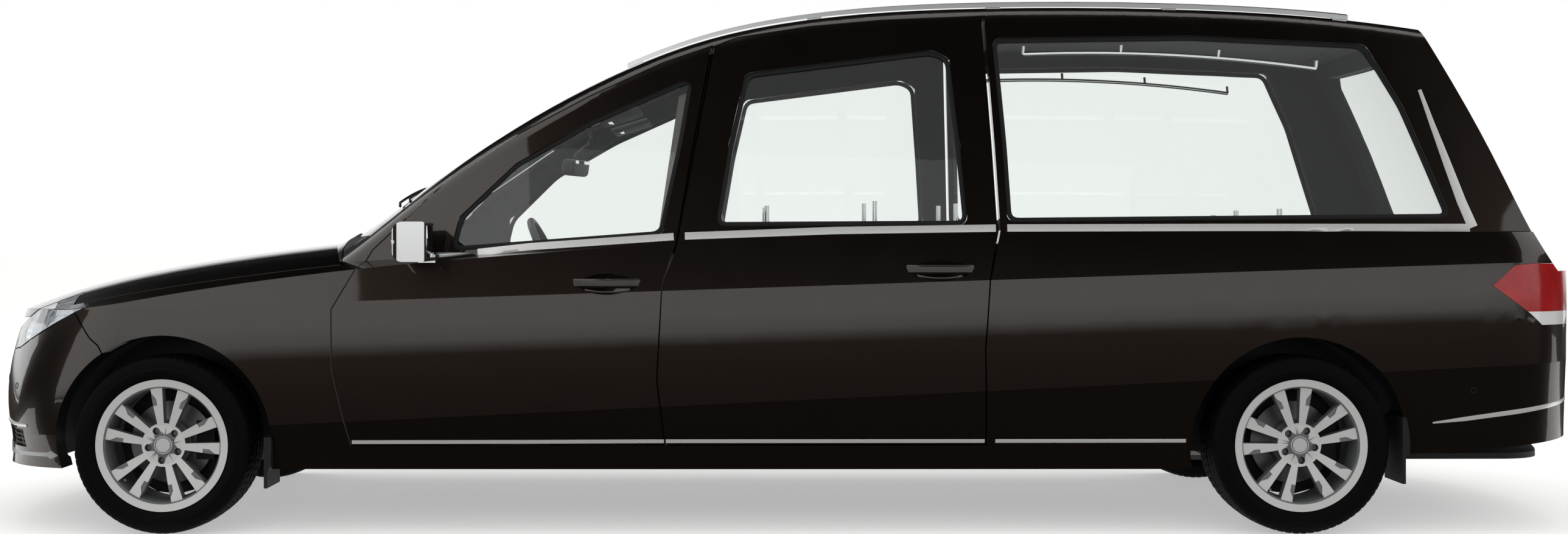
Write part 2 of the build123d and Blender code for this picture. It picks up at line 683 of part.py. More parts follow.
# Cabin
cabin = skin(door_depth + 14, 90, 48, frame_depth + 14, 75)
wheel_centre = (lx(-945), wy(385), hz(960))
wheel_tilt = 66
with BuildPart(Plane(origin=wheel_centre, x_dir=(0, 1, 0), z_dir=(cos(radians(26)), 0, sin(radians(26))))) as \
        steering_wheel:
    Torus(184, 15)
    Cylinder(70, 34)
    for a in (0, 180, 270):
        with PolarLocations(125, 1, start_angle=a):
            Box(130, 30, 18)
    with Locations((0, 0, -150)):
        Cylinder(32, 290)
    with Locations((0, 0, -60)):
        Cylinder(58, 90)
with BuildPart() as dashboard:
    with BuildSketch(Plane.XZ.offset(wy(770))):
        with BuildLine():
            Polyline([(lx(x), hz(z)) for x, z in (
                (-1540, 560), (-1400, 540), (-1240, 640), (-1160, 760), (-1150, 900), (-1190, 985), (-1300, 1020),
                (-1540, 1022))], close=True)
        make_face()
    extrude(amount=-2 * wy(770))
    add(cabin, mode=Mode.INTERSECT)
    add(steering_wheel.part, mode=Mode.SUBTRACT)
with BuildPart() as seats:
    for y in (-wy(385), wy(385)):
        with BuildSketch(Plane.XZ.offset(-y + 255)):
            with BuildLine():
                Polyline([(lx(x), hz(z)) for x, z in (
                    (-960, 560), (-940, 640), (-860, 668), (-470, 640), (-330, 1120), (-250, 1180), (-190, 1150),
                    (-230, 1020), (-330, 620), (-400, 520), (-900, 500))], close=True)
            make_face()
        extrude(amount=-510)
        add(block(lx(-860), lx(-820), y - 200, y + 200, floor_top, hz(510)))
        add(block(lx(-480), lx(-440), y - 200, y + 200, floor_top, hz(530)))

# Mechanical parts
with BuildPart() as engine:
    add(block(lx(-2560), lx(-1780), -240, 240, 400, 790))
    add(block(lx(-1780), lx(-1562), -130, 130, 400, 600))
with BuildPart() as front_carrier:
    add(block(front_axle_x - 60, front_axle_x + 60, -460, 460, 215, 300))
    add(block(front_axle_x - 50, front_axle_x + 50, -240, 240, 300, 400))
    for side in (-1, 1):
        y0, y1 = sorted((side * 380, side * 450))
        add(block(front_axle_x - 40, front_axle_x + 40, y0, y1, 400, 480))
        for z, reach in ((219, 460), (466, 450)):
            y0, y1 = sorted((side * (reach - 30), side * kingpin_y))
            add(block(front_axle_x - 14, front_axle_x + 14, y0, y1, z - 14, z + 14))
            with Locations((front_axle_x, side * kingpin_y, z)):
                Cylinder(16, 28)
        with Locations((front_axle_x, side * kingpin_y, 343)):
            Cylinder(9, 236)
        add(block(front_axle_x - 20, front_axle_x + 20, *sorted((side * 700, side * 800)), 262, 424),
            mode=Mode.SUBTRACT)
with BuildPart() as rear_carrier:
    add(block(rear_axle_x - 110, rear_axle_x + 110, -140, 140, 235, 400))
    add(block(rear_axle_x - 200, rear_axle_x - 130, -600, 600, 215, floor_top - 22))
    add(block(rear_axle_x - 200, rear_axle_x - 60, -120, 120, 215, 253))
    for side in (-1, 1):
        y0, y1 = sorted((side * 120, side * (kingpin_y - 30)))
        with Locations((rear_axle_x, (y0 + y1) / 2, axle_z)):
            Cylinder(26, y1 - y0, rotation=(90, 0, 0))
        y0, y1 = sorted((side * 560, side * (kingpin_y - 30)))
        add(block(rear_axle_x - 200, rear_axle_x - 160, *sorted((side * 560, side * 600)), 215, 300))
        add(block(rear_axle_x - 200, rear_axle_x, *sorted((side * 560, side * 600)), 260, 300))
        add(block(rear_axle_x - 26, rear_axle_x + 26, y0, y1, 240, 280))

# Steering knuckles and rear hub carriers, each with its caliper, and the hub they hold
def knuckle(x, near_y, has_pin):
    """Left-hand upright: a post by the kingpin, a hub bearing and a caliper over the disc."""
    with BuildPart() as body:
        add(drum(x, axle_z, 62, -(wheel_y - 44), -(near_y - 30)))
        add(drum(x, axle_z, 34, -(wheel_y - 8), -(wheel_y - 44)))
        add(block(x - 26, x + 26, -(near_y + 14), -(near_y - 28), 236, axle_z + 129))
        add(block(x + 92, x + 158, -(wheel_y - 6), -(wheel_y - 68), axle_z - 62, axle_z + 78))
        add(block(x + 20, x + 70, -(near_y + 14), -(near_y - 24), axle_z - 30, axle_z + 30))
        add(block(x + 60, x + 110, -(wheel_y - 60), -(near_y - 24), axle_z - 30, axle_z + 30))
        add(drum(x, axle_z, disc_radius + 6, -(wheel_y - 18), -(wheel_y - 44)), mode=Mode.SUBTRACT)
        add(drum(x, axle_z, 34, -(wheel_y - 8), -(wheel_y - 46)))
        if has_pin:
            for z in (249, axle_z + 117):
                with Locations((x, -near_y, z)):
                    Cylinder(9.05, 27, mode=Mode.SUBTRACT)
    return body.part


disc_radius = 148
with BuildPart() as knuckle_left:
    add(knuckle(front_axle_x, kingpin_y, True))
with BuildPart() as knuckle_right:
    add(mirrored(knuckle_left.part))
with BuildPart() as rear_uprights:
    add(knuckle(rear_axle_x, kingpin_y, False))
    add(mirrored(rear_uprights.part))


def tyre(x):
    """Left-hand tyre: a closed ring with rounded shoulders and beads on the rim."""
    half = tyre_width / 2
    with BuildPart() as body:
        with BuildSketch(Plane((x, -wheel_y, axle_z), x_dir=(0, -1, 0), z_dir=(1, 0, 0))):
            with BuildLine():
                for s in (-1, 1):
                    Line((s * 104, bead_radius), (s * 106, bead_radius + 20))
                    ThreePointArc((s * 106, bead_radius + 20), (s * half, 268), (s * 116, tyre_radius - 20))
                    ThreePointArc((s * 116, tyre_radius - 20), (s * 110, tyre_radius - 9), (s * 96, tyre_radius - 4))
                    Polyline((s * 104, bead_radius), (s * 92, bead_radius), (s * 100, tyre_radius - 24))
                Line((-100, tyre_radius - 24), (100, tyre_radius - 24))
                ThreePointArc((-96, tyre_radius - 4), (0, tyre_radius), (96, tyre_radius - 4))
            make_face()
        revolve(axis=Axis((x, 0, axle_z), (0, 1, 0)))
    return body.part


# Half a spoke pair, (radius, distance from the pair's middle line): the bright face, and the
# painted flank one step behind it
spoke_face = [(58, 6), (214, 30), (214, 76), (178, 64), (160, 45), (60, 17)]
spoke_flank = [(60, 14), (158, 42), (176, 62), (207, 74), (168, 64), (62, 29)]


def rim(x, turn):
    """Left-hand alloy: five pairs of stepped spokes in a dish, bolt holes, hub, cap and barrel."""
    face_y = -(wheel_y + 103)
    with BuildPart() as body:
        for step, outline in ((0, spoke_face), (9, spoke_flank)):
            with BuildSketch(Plane.XZ.offset(-face_y - step)):
                for i in range(5):
                    a = radians(turn + 72 * i)
                    for s in (-1, 1):
                        with BuildLine():
                            Polyline([(x + r * cos(a) - s * off * sin(a), axle_z + r * sin(a) + s * off * cos(a))
                                      for r, off in outline], close=True)
                        make_face()
            extrude(amount=-(46 - step))
        add(drum(x, axle_z, bead_radius - 1, face_y - 10, face_y + 80), mode=Mode.INTERSECT)
        add(drum(x, axle_z, 78, face_y, face_y + 70))
        with BuildSketch(Plane((x, -wheel_y, axle_z), x_dir=(0, -1, 0), z_dir=(1, 0, 0))):
            with BuildLine():
                Polyline((86, 0), (86, 70), (102, 216), (140, 216), (140, 0), close=True)
            make_face()
        revolve(axis=Axis((x, 0, axle_z), (0, 1, 0)), mode=Mode.SUBTRACT)
        for i in range(5):
            a = radians(turn + 36 + 72 * i)
            add(drum(x + 56 * cos(a), axle_z + 56 * sin(a), 13, face_y, face_y + 50), mode=Mode.SUBTRACT)
        add(drum(x, axle_z, 37, face_y + 10, face_y + 30))
        add(drum(x, axle_z, 84, face_y + 70, -(wheel_y - 6)))
        with BuildSketch(Plane((x, -wheel_y, axle_z), x_dir=(0, -1, 0), z_dir=(1, 0, 0))):
            with BuildLine():
                b = bead_radius
                Polyline((-104, b), (104, b), (106, b + 20), (112, b + 20), (109, b - 6), (100, b - 12), (20, b - 20),
                         (-100, b - 12), (-109, b - 6), (-112, b + 20), (-106, b + 20), close=True)
            make_face()
        revolve(axis=Axis((x, 0, axle_z), (0, 1, 0)))
        add(drum(x, axle_z, 34.05, face_y + 60, -(wheel_y - 9)), mode=Mode.SUBTRACT)
    return body.part


with BuildPart() as tyre_front_left:
    add(tyre(front_axle_x))
with BuildPart() as tyre_rear_left:
    add(tyre(rear_axle_x))
with BuildPart() as tyre_front_right:
    add(mirrored(tyre_front_left.part))
with BuildPart() as tyre_rear_right:
    add(mirrored(tyre_rear_left.part))
with BuildPart() as rim_front_left:
    add(rim(front_axle_x, 82.5))
with BuildPart() as rim_rear_left:
    add(rim(rear_axle_x, 98))
with BuildPart() as rim_front_right:
    add(mirrored(rim_front_left.part))
with BuildPart() as rim_rear_right:
    add(mirrored(rim_rear_left.part))


def disc(x):
    with BuildPart() as body:
        add(drum(x, axle_z, disc_radius, -(wheel_y - 20), -(wheel_y - 40)))
        add(drum(x, axle_z, 84, -(wheel_y - 6), -(wheel_y - 20)))
        add(drum(x, axle_z, 34.05, -(wheel_y - 4), -(wheel_y - 44)), mode=Mode.SUBTRACT)
    return body.part


with BuildPart() as disc_front_left:
    add(disc(front_axle_x))
with BuildPart() as disc_rear_left:
    add(disc(rear_axle_x))
with BuildPart() as disc_front_right:
    add(mirrored(disc_front_left.part))
with BuildPart() as disc_rear_right:
    add(mirrored(disc_rear_left.part))

# Door mirrors, roof rails, mud flaps and exhaust
mirror_x = lx(-1299)
with BuildPart() as mirror_head:
    with Locations((mirror_x, -wy(990), hz(1047))):
        Box(124, 196, 140)
    fillet(mirror_head.edges().group_by(Axis.X)[0], 44)
    fillet(mirror_head.edges().group_by(Axis.X)[-1], 14)
with BuildPart() as mirror_left:
    add(mirror_head.part)
    add(block(lx(-1285), lx(-1225), -wy(945), -wy(850), hz(972), hz(1000)))
    add(outer, mode=Mode.SUBTRACT)
with BuildPart() as mirror_right:
    add(mirrored(mirror_left.part))
rail_line = block(lx(-560), lx(2100), -wy(654), -wy(626), hz(1500), hz(2100))
rail_foot = house(-8)
with BuildPart() as roof_rails:
    add(house(-22))
    add(rail_line, mode=Mode.INTERSECT)
    add(house(-6), mode=Mode.SUBTRACT)
    for x in (-530, 130, 790, 1440, 2070):
        add(rail_foot & block(lx(x) - 26, lx(x) + 26, -wy(650), -wy(630), hz(1500), hz(2100)))
    add(house(0), mode=Mode.SUBTRACT)
    add(mirrored(roof_rails.part))
with BuildPart() as mud_flaps:
    for x, r, z0, z1, zs in ((front_axle_x, front_arch_radius, 168, 350, sill_z),
                             (rear_axle_x, rear_arch_radius, 184, 420, 285)):
        add(block(x + r - 27, x + r + 20, -wy(916), -wy(720), zs, z1) & drum(x, axle_z, r, -1000, -600))
        add(block(x + r - 27, x + r - 15, -wy(916), -wy(720), z0, zs + 2))
    add(mirrored(mud_flaps.part))
# Pipe runs: first station, last station, radius
pipe_rows = [(-1700, 900, 26), (900, 1500, 64), (1500, 2880, 26)]
with BuildPart() as exhaust:
    for x0, x1, radius in pipe_rows:
        with Locations((lx((x0 + x1) / 2), 280, 178)):
            Cylinder(radius, lx(x1) - lx(x0), rotation=(0, 90, 0))
    for x in (-1190, 610, 2610):
        add(block(lx(x) - 10, lx(x) + 10, 272, 288, 190, floor_top - 22))


nodes = [
    ("floor", floor), ("side_left", side_left), ("side_right", side_right), ("wing_left", wing_left),
    ("wing_right", wing_right), ("roof", roof), ("cowl", cowl), ("windscreen", windscreen),
    ("quarter_windows", quarter_windows), ("bumper_nose", bumper_nose), ("grille", grille),
    ("headlamps", headlamps), ("headlamp_lenses", headlamp_lenses), ("intake_slats", intake_slats),
    ("bumper_back", bumper_back), ("tail_lamps", tail_lamps),
    ("reversing_lamps", reversing_lamps),
    ("roof_rails", roof_rails), ("mud_flaps", mud_flaps), ("arch_liners", arch_liners),
    ("dashboard", dashboard), ("steering_wheel", steering_wheel), ("seats", seats), ("deck", deck),
    ("deck_fittings", deck_fittings), ("engine", engine), ("front_carrier", front_carrier),
    ("rear_carrier", rear_carrier), ("rear_uprights", rear_uprights), ("exhaust", exhaust),
    ("bonnet", bonnet), ("door_front_left", door_front_left), ("door_front_right", door_front_right),
    ("door_rear_left", door_rear_left), ("door_rear_right", door_rear_right),
    ("glass_front_left", glass_front_left), ("glass_front_right", glass_front_right),
    ("glass_rear_left", glass_rear_left), ("glass_rear_right", glass_rear_right),
    ("mirror_left", mirror_left), ("mirror_right", mirror_right), ("tailgate", tailgate),
    ("tailgate_glass", tailgate_glass), ("knuckle_left", knuckle_left), ("knuckle_right", knuckle_right),
    ("rim_front_left", rim_front_left), ("rim_front_right", rim_front_right),
    ("rim_rear_left", rim_rear_left), ("rim_rear_right", rim_rear_right),
    ("tyre_front_left", tyre_front_left), ("tyre_front_right", tyre_front_right),
    ("tyre_rear_left", tyre_rear_left), ("tyre_rear_right", tyre_rear_right),
    ("disc_front_left", disc_front_left), ("disc_front_right", disc_front_right),
    ("disc_rear_left", disc_rear_left), ("disc_rear_right", disc_rear_right),
]
for name, piece in nodes:
    piece.part.label = name
    export_step(piece.part, "parts/" + name + ".step")
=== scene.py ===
import bpy
import bmesh
from math import cos, exp, hypot, pi, radians, sin
from mathutils import Matrix, Vector
from mathutils.bvhtree import BVHTree


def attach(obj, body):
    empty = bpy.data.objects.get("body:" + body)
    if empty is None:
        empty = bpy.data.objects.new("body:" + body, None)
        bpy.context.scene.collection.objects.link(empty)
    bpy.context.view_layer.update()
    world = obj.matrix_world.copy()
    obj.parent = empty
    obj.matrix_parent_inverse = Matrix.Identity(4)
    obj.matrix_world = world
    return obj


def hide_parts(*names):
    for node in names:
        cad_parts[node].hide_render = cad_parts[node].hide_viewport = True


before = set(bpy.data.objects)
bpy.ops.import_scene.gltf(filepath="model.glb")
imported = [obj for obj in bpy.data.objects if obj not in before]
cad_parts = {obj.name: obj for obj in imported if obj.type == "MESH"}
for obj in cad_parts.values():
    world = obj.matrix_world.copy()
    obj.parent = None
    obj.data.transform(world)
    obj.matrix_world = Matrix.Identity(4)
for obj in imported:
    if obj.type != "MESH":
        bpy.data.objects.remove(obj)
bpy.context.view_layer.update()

# The eye stands about seven metres from the car's left side, level with its waist, behind a
# normal lens. The frame hangs a little to the right of the lens's own axis and below it.
lens = bpy.data.cameras.new("side_view")
lens.sensor_width = 36.0
lens.lens = 45.08
lens.shift_x = 0.02795
lens.shift_y = -0.0227
lens.clip_start = 0.1
lens.clip_end = 200.0
eye = bpy.data.objects.new("side_view", lens)
eye.location = (-0.144, -7.905, 1.083)
eye.rotation_euler = (pi / 2, 0, 0)
bpy.context.scene.collection.objects.link(eye)
bpy.context.scene.camera = eye
bpy.context.scene.view_settings.view_transform = "Standard"


# The studio floor is one sheet of matt white coated board that runs far out on every side. It
# shows white where the light is full, and keeps the car's soft shadow.
def linear(hex_text):
    """sRGB hex to the linear colour the shader wants."""
    channels = [int(hex_text[i:i + 2], 16) / 255 for i in (1, 3, 5)]
    return [c / 12.92 if c <= 0.04045 else ((c + 0.055) / 1.055) ** 2.4 for c in channels] + [1.0]


def node(material, kind, links=None, **settings):
    """Adds one shader node, sets its sockets and properties and links named inputs."""
    made = material.node_tree.nodes.new(kind)
    for key, value in settings.items():
        if key in made.inputs:
            made.inputs[key].default_value = value
        else:
            setattr(made, key, value)
    for socket, source in (links or {}).items():
        material.node_tree.links.new(source, made.inputs[socket])
    return made


def seen_ray(material):
    """1 for what the eye, a polished surface or a pane looks at, 0 for light on other things."""
    path = node(material, "ShaderNodeLightPath")
    direct, mirrored = path.outputs["Is Camera Ray"], path.outputs["Is Glossy Ray"]
    seen = node(material, "ShaderNodeMath", {0: direct, 1: mirrored}, operation="ADD")
    through = path.outputs["Is Transmission Ray"]
    return node(material, "ShaderNodeMath", {0: seen.outputs[0], 1: through},
                operation="ADD", use_clamp=True).outputs[0]


def blank(name):
    """An empty material and its output."""
    material = bpy.data.materials.new(name)
    material.use_nodes = True
    material.node_tree.nodes.clear()
    return material, node(material, "ShaderNodeOutputMaterial")


board_reach, board_drop, board_glow_level = 90, 0.001, 0.42
# chalky coated board: dull, with a little light of its own where it is looked at
board, board_out = blank("matt_white_studio_board")
board_matt = node(board, "ShaderNodeBsdfDiffuse", Color=linear("#e9e8e6"), Roughness=0.3)
board_level = node(board, "ShaderNodeMapRange", {"Value": seen_ray(board)})
board_level.inputs["To Max"].default_value = board_glow_level
board_glow = node(board, "ShaderNodeEmission", {"Strength": board_level.outputs["Result"]})
board_sum = node(board, "ShaderNodeAddShader", {0: board_matt.outputs[0], 1: board_glow.outputs[0]})
board.node_tree.links.new(board_sum.outputs[0], board_out.inputs["Surface"])
floor_mesh = bpy.data.meshes.new("floor_sheet")
floor_corners = [(x * board_reach, y * board_reach, 0)
                 for x, y in ((-1, -1), (1, -1), (1, 1), (-1, 1))]
floor_mesh.from_pydata(floor_corners, [], [(0, 1, 2, 3)])
floor_mesh.materials.append(board)
floor_sheet = bpy.data.objects.new("floor_sheet", floor_mesh)
floor_sheet.location.z = -board_drop
bpy.context.scene.collection.objects.link(floor_sheet)

# The room is one even white backdrop. A broad soft lamp hangs overhead and a weaker one stands on
# the eye's side. Both are near the room's own level, and polished surfaces don't mirror them.
room_light_level = 0.72
room = bpy.data.worlds.new("room")
bpy.context.scene.world = room
room.use_nodes = True
room.node_tree.nodes.clear()
room_level = node(room, "ShaderNodeMapRange", {"Value": seen_ray(room)})
room_level.inputs["To Min"].default_value = room_light_level
room_glow = node(room, "ShaderNodeBackground", {"Strength": room_level.outputs["Result"]})
room_glow.inputs["Color"].default_value = (1, 1, 1, 1)
node(room, "ShaderNodeOutputWorld", {"Surface": room_glow.outputs[0]})
for name, place, size, watts, aim in (
    ("roof_light", (0.0, -0.5, 6.5), (9.0, 4.0), 110.0, (0, 0, 0)),
    ("viewer_light", (-1.5, -10.0, 4.5), (10.0, 3.0), 70.0, (0, 0, 0.8)),
):
    lamp = bpy.data.lights.new(name, "AREA")
    lamp.shape = "RECTANGLE"
    lamp.size, lamp.size_y = size
    lamp.energy = watts
    holder = bpy.data.objects.new(name, lamp)
    holder.location = place
    holder.rotation_euler = (Vector(aim) - Vector(place)).to_track_quat("-Z", "Y").to_euler()
    holder.visible_glossy = False
    bpy.context.scene.collection.objects.link(holder)

# Black cloth flags hang high along both sides of the studio, a dark skirting and a carpet lie low,
# and dark screens close the ends. Only polished surfaces see them: between them runs the one long
# band of light that black enamel shows along its shoulder.
sides = ((-1, "left"), (1, "right"))


def studio_cloth(name, colour, stops):
    """Cloth that thins out with its height. stops are (share of the height, cover)."""
    material, out = blank(name)
    place = node(material, "ShaderNodeTexCoord")
    height = node(material, "ShaderNodeSeparateXYZ", {0: place.outputs["Generated"]})
    cover = node(material, "ShaderNodeValToRGB", {0: height.outputs["Z"]})
    while len(cover.color_ramp.elements) < len(stops):
        cover.color_ramp.elements.new(0.5)
    for element, (share, amount) in zip(cover.color_ramp.elements, stops):
        element.position = share
        element.color = (amount, amount, amount, 1)
    black = node(material, "ShaderNodeBsdfDiffuse", Color=linear(colour))
    gap = node(material, "ShaderNodeBsdfTransparent")
    mix = node(material, "ShaderNodeMixShader",
               {0: cover.outputs[0], 1: gap.outputs[0], 2: black.outputs[0]})
    material.node_tree.links.new(mix.outputs[0], out.inputs["Surface"])
    return material


# dull wool; the flag's foot and the skirting's top fade out, so their mirrored edges are soft
high_cloth = studio_cloth("black_flag_cloth", "#090909", ((0.0, 0.0), (0.09, 1.0)))
low_cloth = studio_cloth("dark_skirting_cloth", "#17130f", ((0.0, 1.0), (0.45, 0.2), (1.0, 0.0)))
carpet = studio_cloth("black_carpet", "#3a332e", ((0.0, 1.0), (1.0, 1.0)))
# the left flag stops short of the windscreen, so that the pillar's arch shines
for (side, word), (low, high) in zip(sides, ((-4.6, -3.0), (-9.0, -9.0))):
    end = side * 13
    for name, cloth, corners in (
        ("high_flag", high_cloth, ((low, 15, 2.9), (11, 15, 2.9), (11, 3, 14), (high, 3, 14))),
        ("skirting", low_cloth, ((-30, 14, 0), (30, 14, 0), (30, 14, 1.2), (-30, 14, 1.2))),
        ("carpet", carpet, ((-14, 0.96, 0.003), (14, 0.96, 0.003), (14, 14, 0.004),
                            (-14, 14, 0.004))),
        ("end_screen", carpet, ((end, -6, 0), (end, 6, 0), (end, 6, 5), (end, -6, 5))),
    ):
        sheet_mesh = bpy.data.meshes.new(name)
        sheet_mesh.from_pydata([(x, side * y, z) for x, y, z in corners], [], [(0, 1, 2, 3)])
        sheet_mesh.materials.append(cloth)
        hung = bpy.data.objects.new(name + "_" + word, sheet_mesh)
        bpy.context.scene.collection.objects.link(hung)
        for ray in ("visible_camera", "visible_diffuse", "visible_transmission", "visible_shadow"):
            setattr(hung, ray, False)


# The body is pressed and galvanised sheet steel under black enamel with a faint brown cast and a
# clear lacquer. The roof and sides are welded up, the wings bolted on, and the doors, bonnet and
# tailgate hung on hinges. The faces that look into the cabin are lined with cloth.
def finish(name, colour, roughness, metallic=0.0, bump=None, spread=0.0, grain=None, **sockets):
    """A finish of one shader. bump is (pattern size, depth) in mm, spread varies the roughness in
    patches of about 110 mm, and grain is (pattern size in mm, second colour)."""
    material, out = blank(name)
    coat = node(material, "ShaderNodeBsdfPrincipled", Roughness=roughness, Metallic=metallic)
    coat.inputs["Base Color"].default_value = linear(colour)
    for key, value in sockets.items():
        coat.inputs[key.replace("_", " ")].default_value = value
    links = material.node_tree.links
    place = node(material, "ShaderNodeTexCoord").outputs["Object"]
    if spread:
        patches = node(material, "ShaderNodeTexNoise", {"Vector": place}, Scale=9.0, Detail=5.0)
        rough = node(material, "ShaderNodeMapRange", {"Value": patches.outputs["Fac"]})
        rough.inputs["To Min"].default_value = max(roughness - spread, 0.0)
        rough.inputs["To Max"].default_value = roughness + spread
        links.new(rough.outputs["Result"], coat.inputs["Roughness"])
    if grain:
        size, second = grain
        fleck = node(material, "ShaderNodeTexNoise", {"Vector": place},
                     Scale=1000 / size, Detail=3.0)
        tint = node(material, "ShaderNodeMix", {"Factor": fleck.outputs["Fac"]}, data_type="RGBA")
        tint.inputs[6].default_value = linear(colour)
        tint.inputs[7].default_value = linear(second)
        links.new(tint.outputs[2], coat.inputs["Base Color"])
    if bump:
        size, depth = bump
        relief = node(material, "ShaderNodeTexNoise", {"Vector": place},
                      Scale=1000 / size, Detail=2.0)
        raised = node(material, "ShaderNodeBump", {"Height": relief.outputs["Fac"]},
                      Strength=1.0, Distance=depth / 1000)
        links.new(raised.outputs["Normal"], coat.inputs["Normal"])
    links.new(coat.outputs["BSDF"], out.inputs["Surface"])
    return material


def painted(names, material, second=None, test=None):
    """Puts a finish on CAD nodes, and a second one on the faces that test picks out."""
    for name in names:
        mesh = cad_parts[name].data
        mesh.materials.clear()
        mesh.materials.append(material)
        if second:
            mesh.materials.append(second)
            for face in mesh.polygons:
                face.material_index = 1 if test(face) else 0


cabin_front, cabin_tail, cabin_floor, cabin_top = -1.0, 1.9, 0.5, 1.15
lined_from = -0.3  # lined where it turns more than about 17 degrees to the cabin


def inward(face):
    """True where a face of the shell looks at the nearest point of the cabin's middle plane."""
    spot = face.center
    middle = Vector((min(max(spot.x, cabin_front), cabin_tail), 0,
                     min(max(spot.z, cabin_floor), cabin_top)))
    return face.normal.dot((spot - middle).normalized()) < lined_from


# a sharp reflection from the lacquer over a soft warm one from the enamel
black_enamel = finish("black_enamel_under_clear_lacquer", "#080706", 0.3, spread=0.05,
                      Specular_IOR_Level=0.5, Specular_Tint=linear("#e6c8b4"),
                      Coat_Weight=1.0, Coat_Roughness=0.03, Coat_IOR=1.6)
# woven polyester, dull and softly lit at the rim; threads of 0.6 mm drawn as 2 mm, so they show
lining_cloth = finish("woven_grey_green_lining", "#232d28", 0.9, bump=(2, 0.25),
                      grain=(3, "#1b2420"), Sheen_Weight=0.25)
painted(("side_left", "side_right", "wing_left", "wing_right", "roof", "door_front_left",
         "door_front_right", "door_rear_left", "door_rear_right", "tailgate"),
        black_enamel, lining_cloth, inward)
painted(("bonnet", "bumper_back"), black_enamel)

# The front bumper is moulded polypropylene in the body's enamel, clipped to the wings. The lip
# along its foot is masked off and sprayed silver.
lip_foot, lip_top, lip_back = 0.2612, 0.2968, -2.6
# fine metal flakes in lacquer: a soft grey shine
silver_paint = finish("silver_painted_polypropylene", "#a9aaab", 0.35, metallic=0.6, spread=0.05)
nose_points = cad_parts["bumper_nose"].data.vertices
painted(("bumper_nose",), black_enamel, silver_paint, lambda face: face.center.x < lip_back and all(
    lip_foot < nose_points[i].co.z < lip_top for i in face.vertices))


# The panes are toughened soda-lime glass, curved in a mould and bonded to their frames. The iron
# in it makes it faintly green.
def clear(name, colour, ior=1.45):
    """A clear solid that lets lamp light through to what is behind it."""
    material, out = blank(name)
    solid = node(material, "ShaderNodeBsdfPrincipled", Roughness=0.0, IOR=ior)
    solid.inputs["Base Color"].default_value = linear(colour)
    solid.inputs["Transmission Weight"].default_value = 1.0
    open_way = node(material, "ShaderNodeBsdfTransparent", Color=linear(colour))
    shadow = node(material, "ShaderNodeLightPath").outputs["Is Shadow Ray"]
    either = node(material, "ShaderNodeMixShader",
                  {0: shadow, 1: solid.outputs["BSDF"], 2: open_way.outputs[0]})
    material.node_tree.links.new(either.outputs[0], out.inputs["Surface"])
    return material


# clear to the eye, with a thin sharp reflection and a little less red and blue coming through
pane_glass = clear("toughened_soda_lime_glass", "#f8fbf9")
painted(("windscreen", "quarter_windows", "glass_front_left", "glass_front_right",
         "glass_rear_left", "glass_rear_right", "tailgate_glass"), pane_glass)

# The waist, sill, pillar and bumper strips are roll-formed aluminium, brightly anodised, and clip
# onto the skin. Each lies on its own panel and stops short at the panel gaps.
section = ((-1, 0), (-0.9, 0.7), (0, 1), (0.9, 0.7), (1, 0))  # (share of half width, of height)
row_step, edge_sink, skin_jump = 0.03, 0.0015, 0.006
# metres from the car's middle: where the look starts, and the nearest that it may meet
beyond_end, beyond_side, near_half = 3.6, 1.4, 0.3


def fitted(name, mesh, body, replaces=(), place=None):
    """Makes a piece of a mesh, sets it in place and lets it ride on its body."""
    piece = bpy.data.objects.new(name, mesh)
    bpy.context.scene.collection.objects.link(piece)
    if place:
        piece.matrix_world = place
    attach(piece, body)
    if replaces:
        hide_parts(*replaces)
    return piece


def skin_of(name):
    """A search tree over a CAD node's faces."""
    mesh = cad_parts[name].data
    return BVHTree.FromPolygons([v.co.copy() for v in mesh.vertices],
                                [list(face.vertices) for face in mesh.polygons])


def finished_mesh(name, shape, material, crease):
    """Turns a bmesh into a smooth mesh that is sharp where it bends by more than crease degrees."""
    bmesh.ops.recalc_face_normals(shape, faces=shape.faces)
    mesh = bpy.data.meshes.new(name)
    shape.to_mesh(mesh)
    shape.free()
    mesh.shade_smooth()
    mesh.set_sharp_from_angle(angle=radians(crease))
    mesh.materials.append(material)
    return mesh


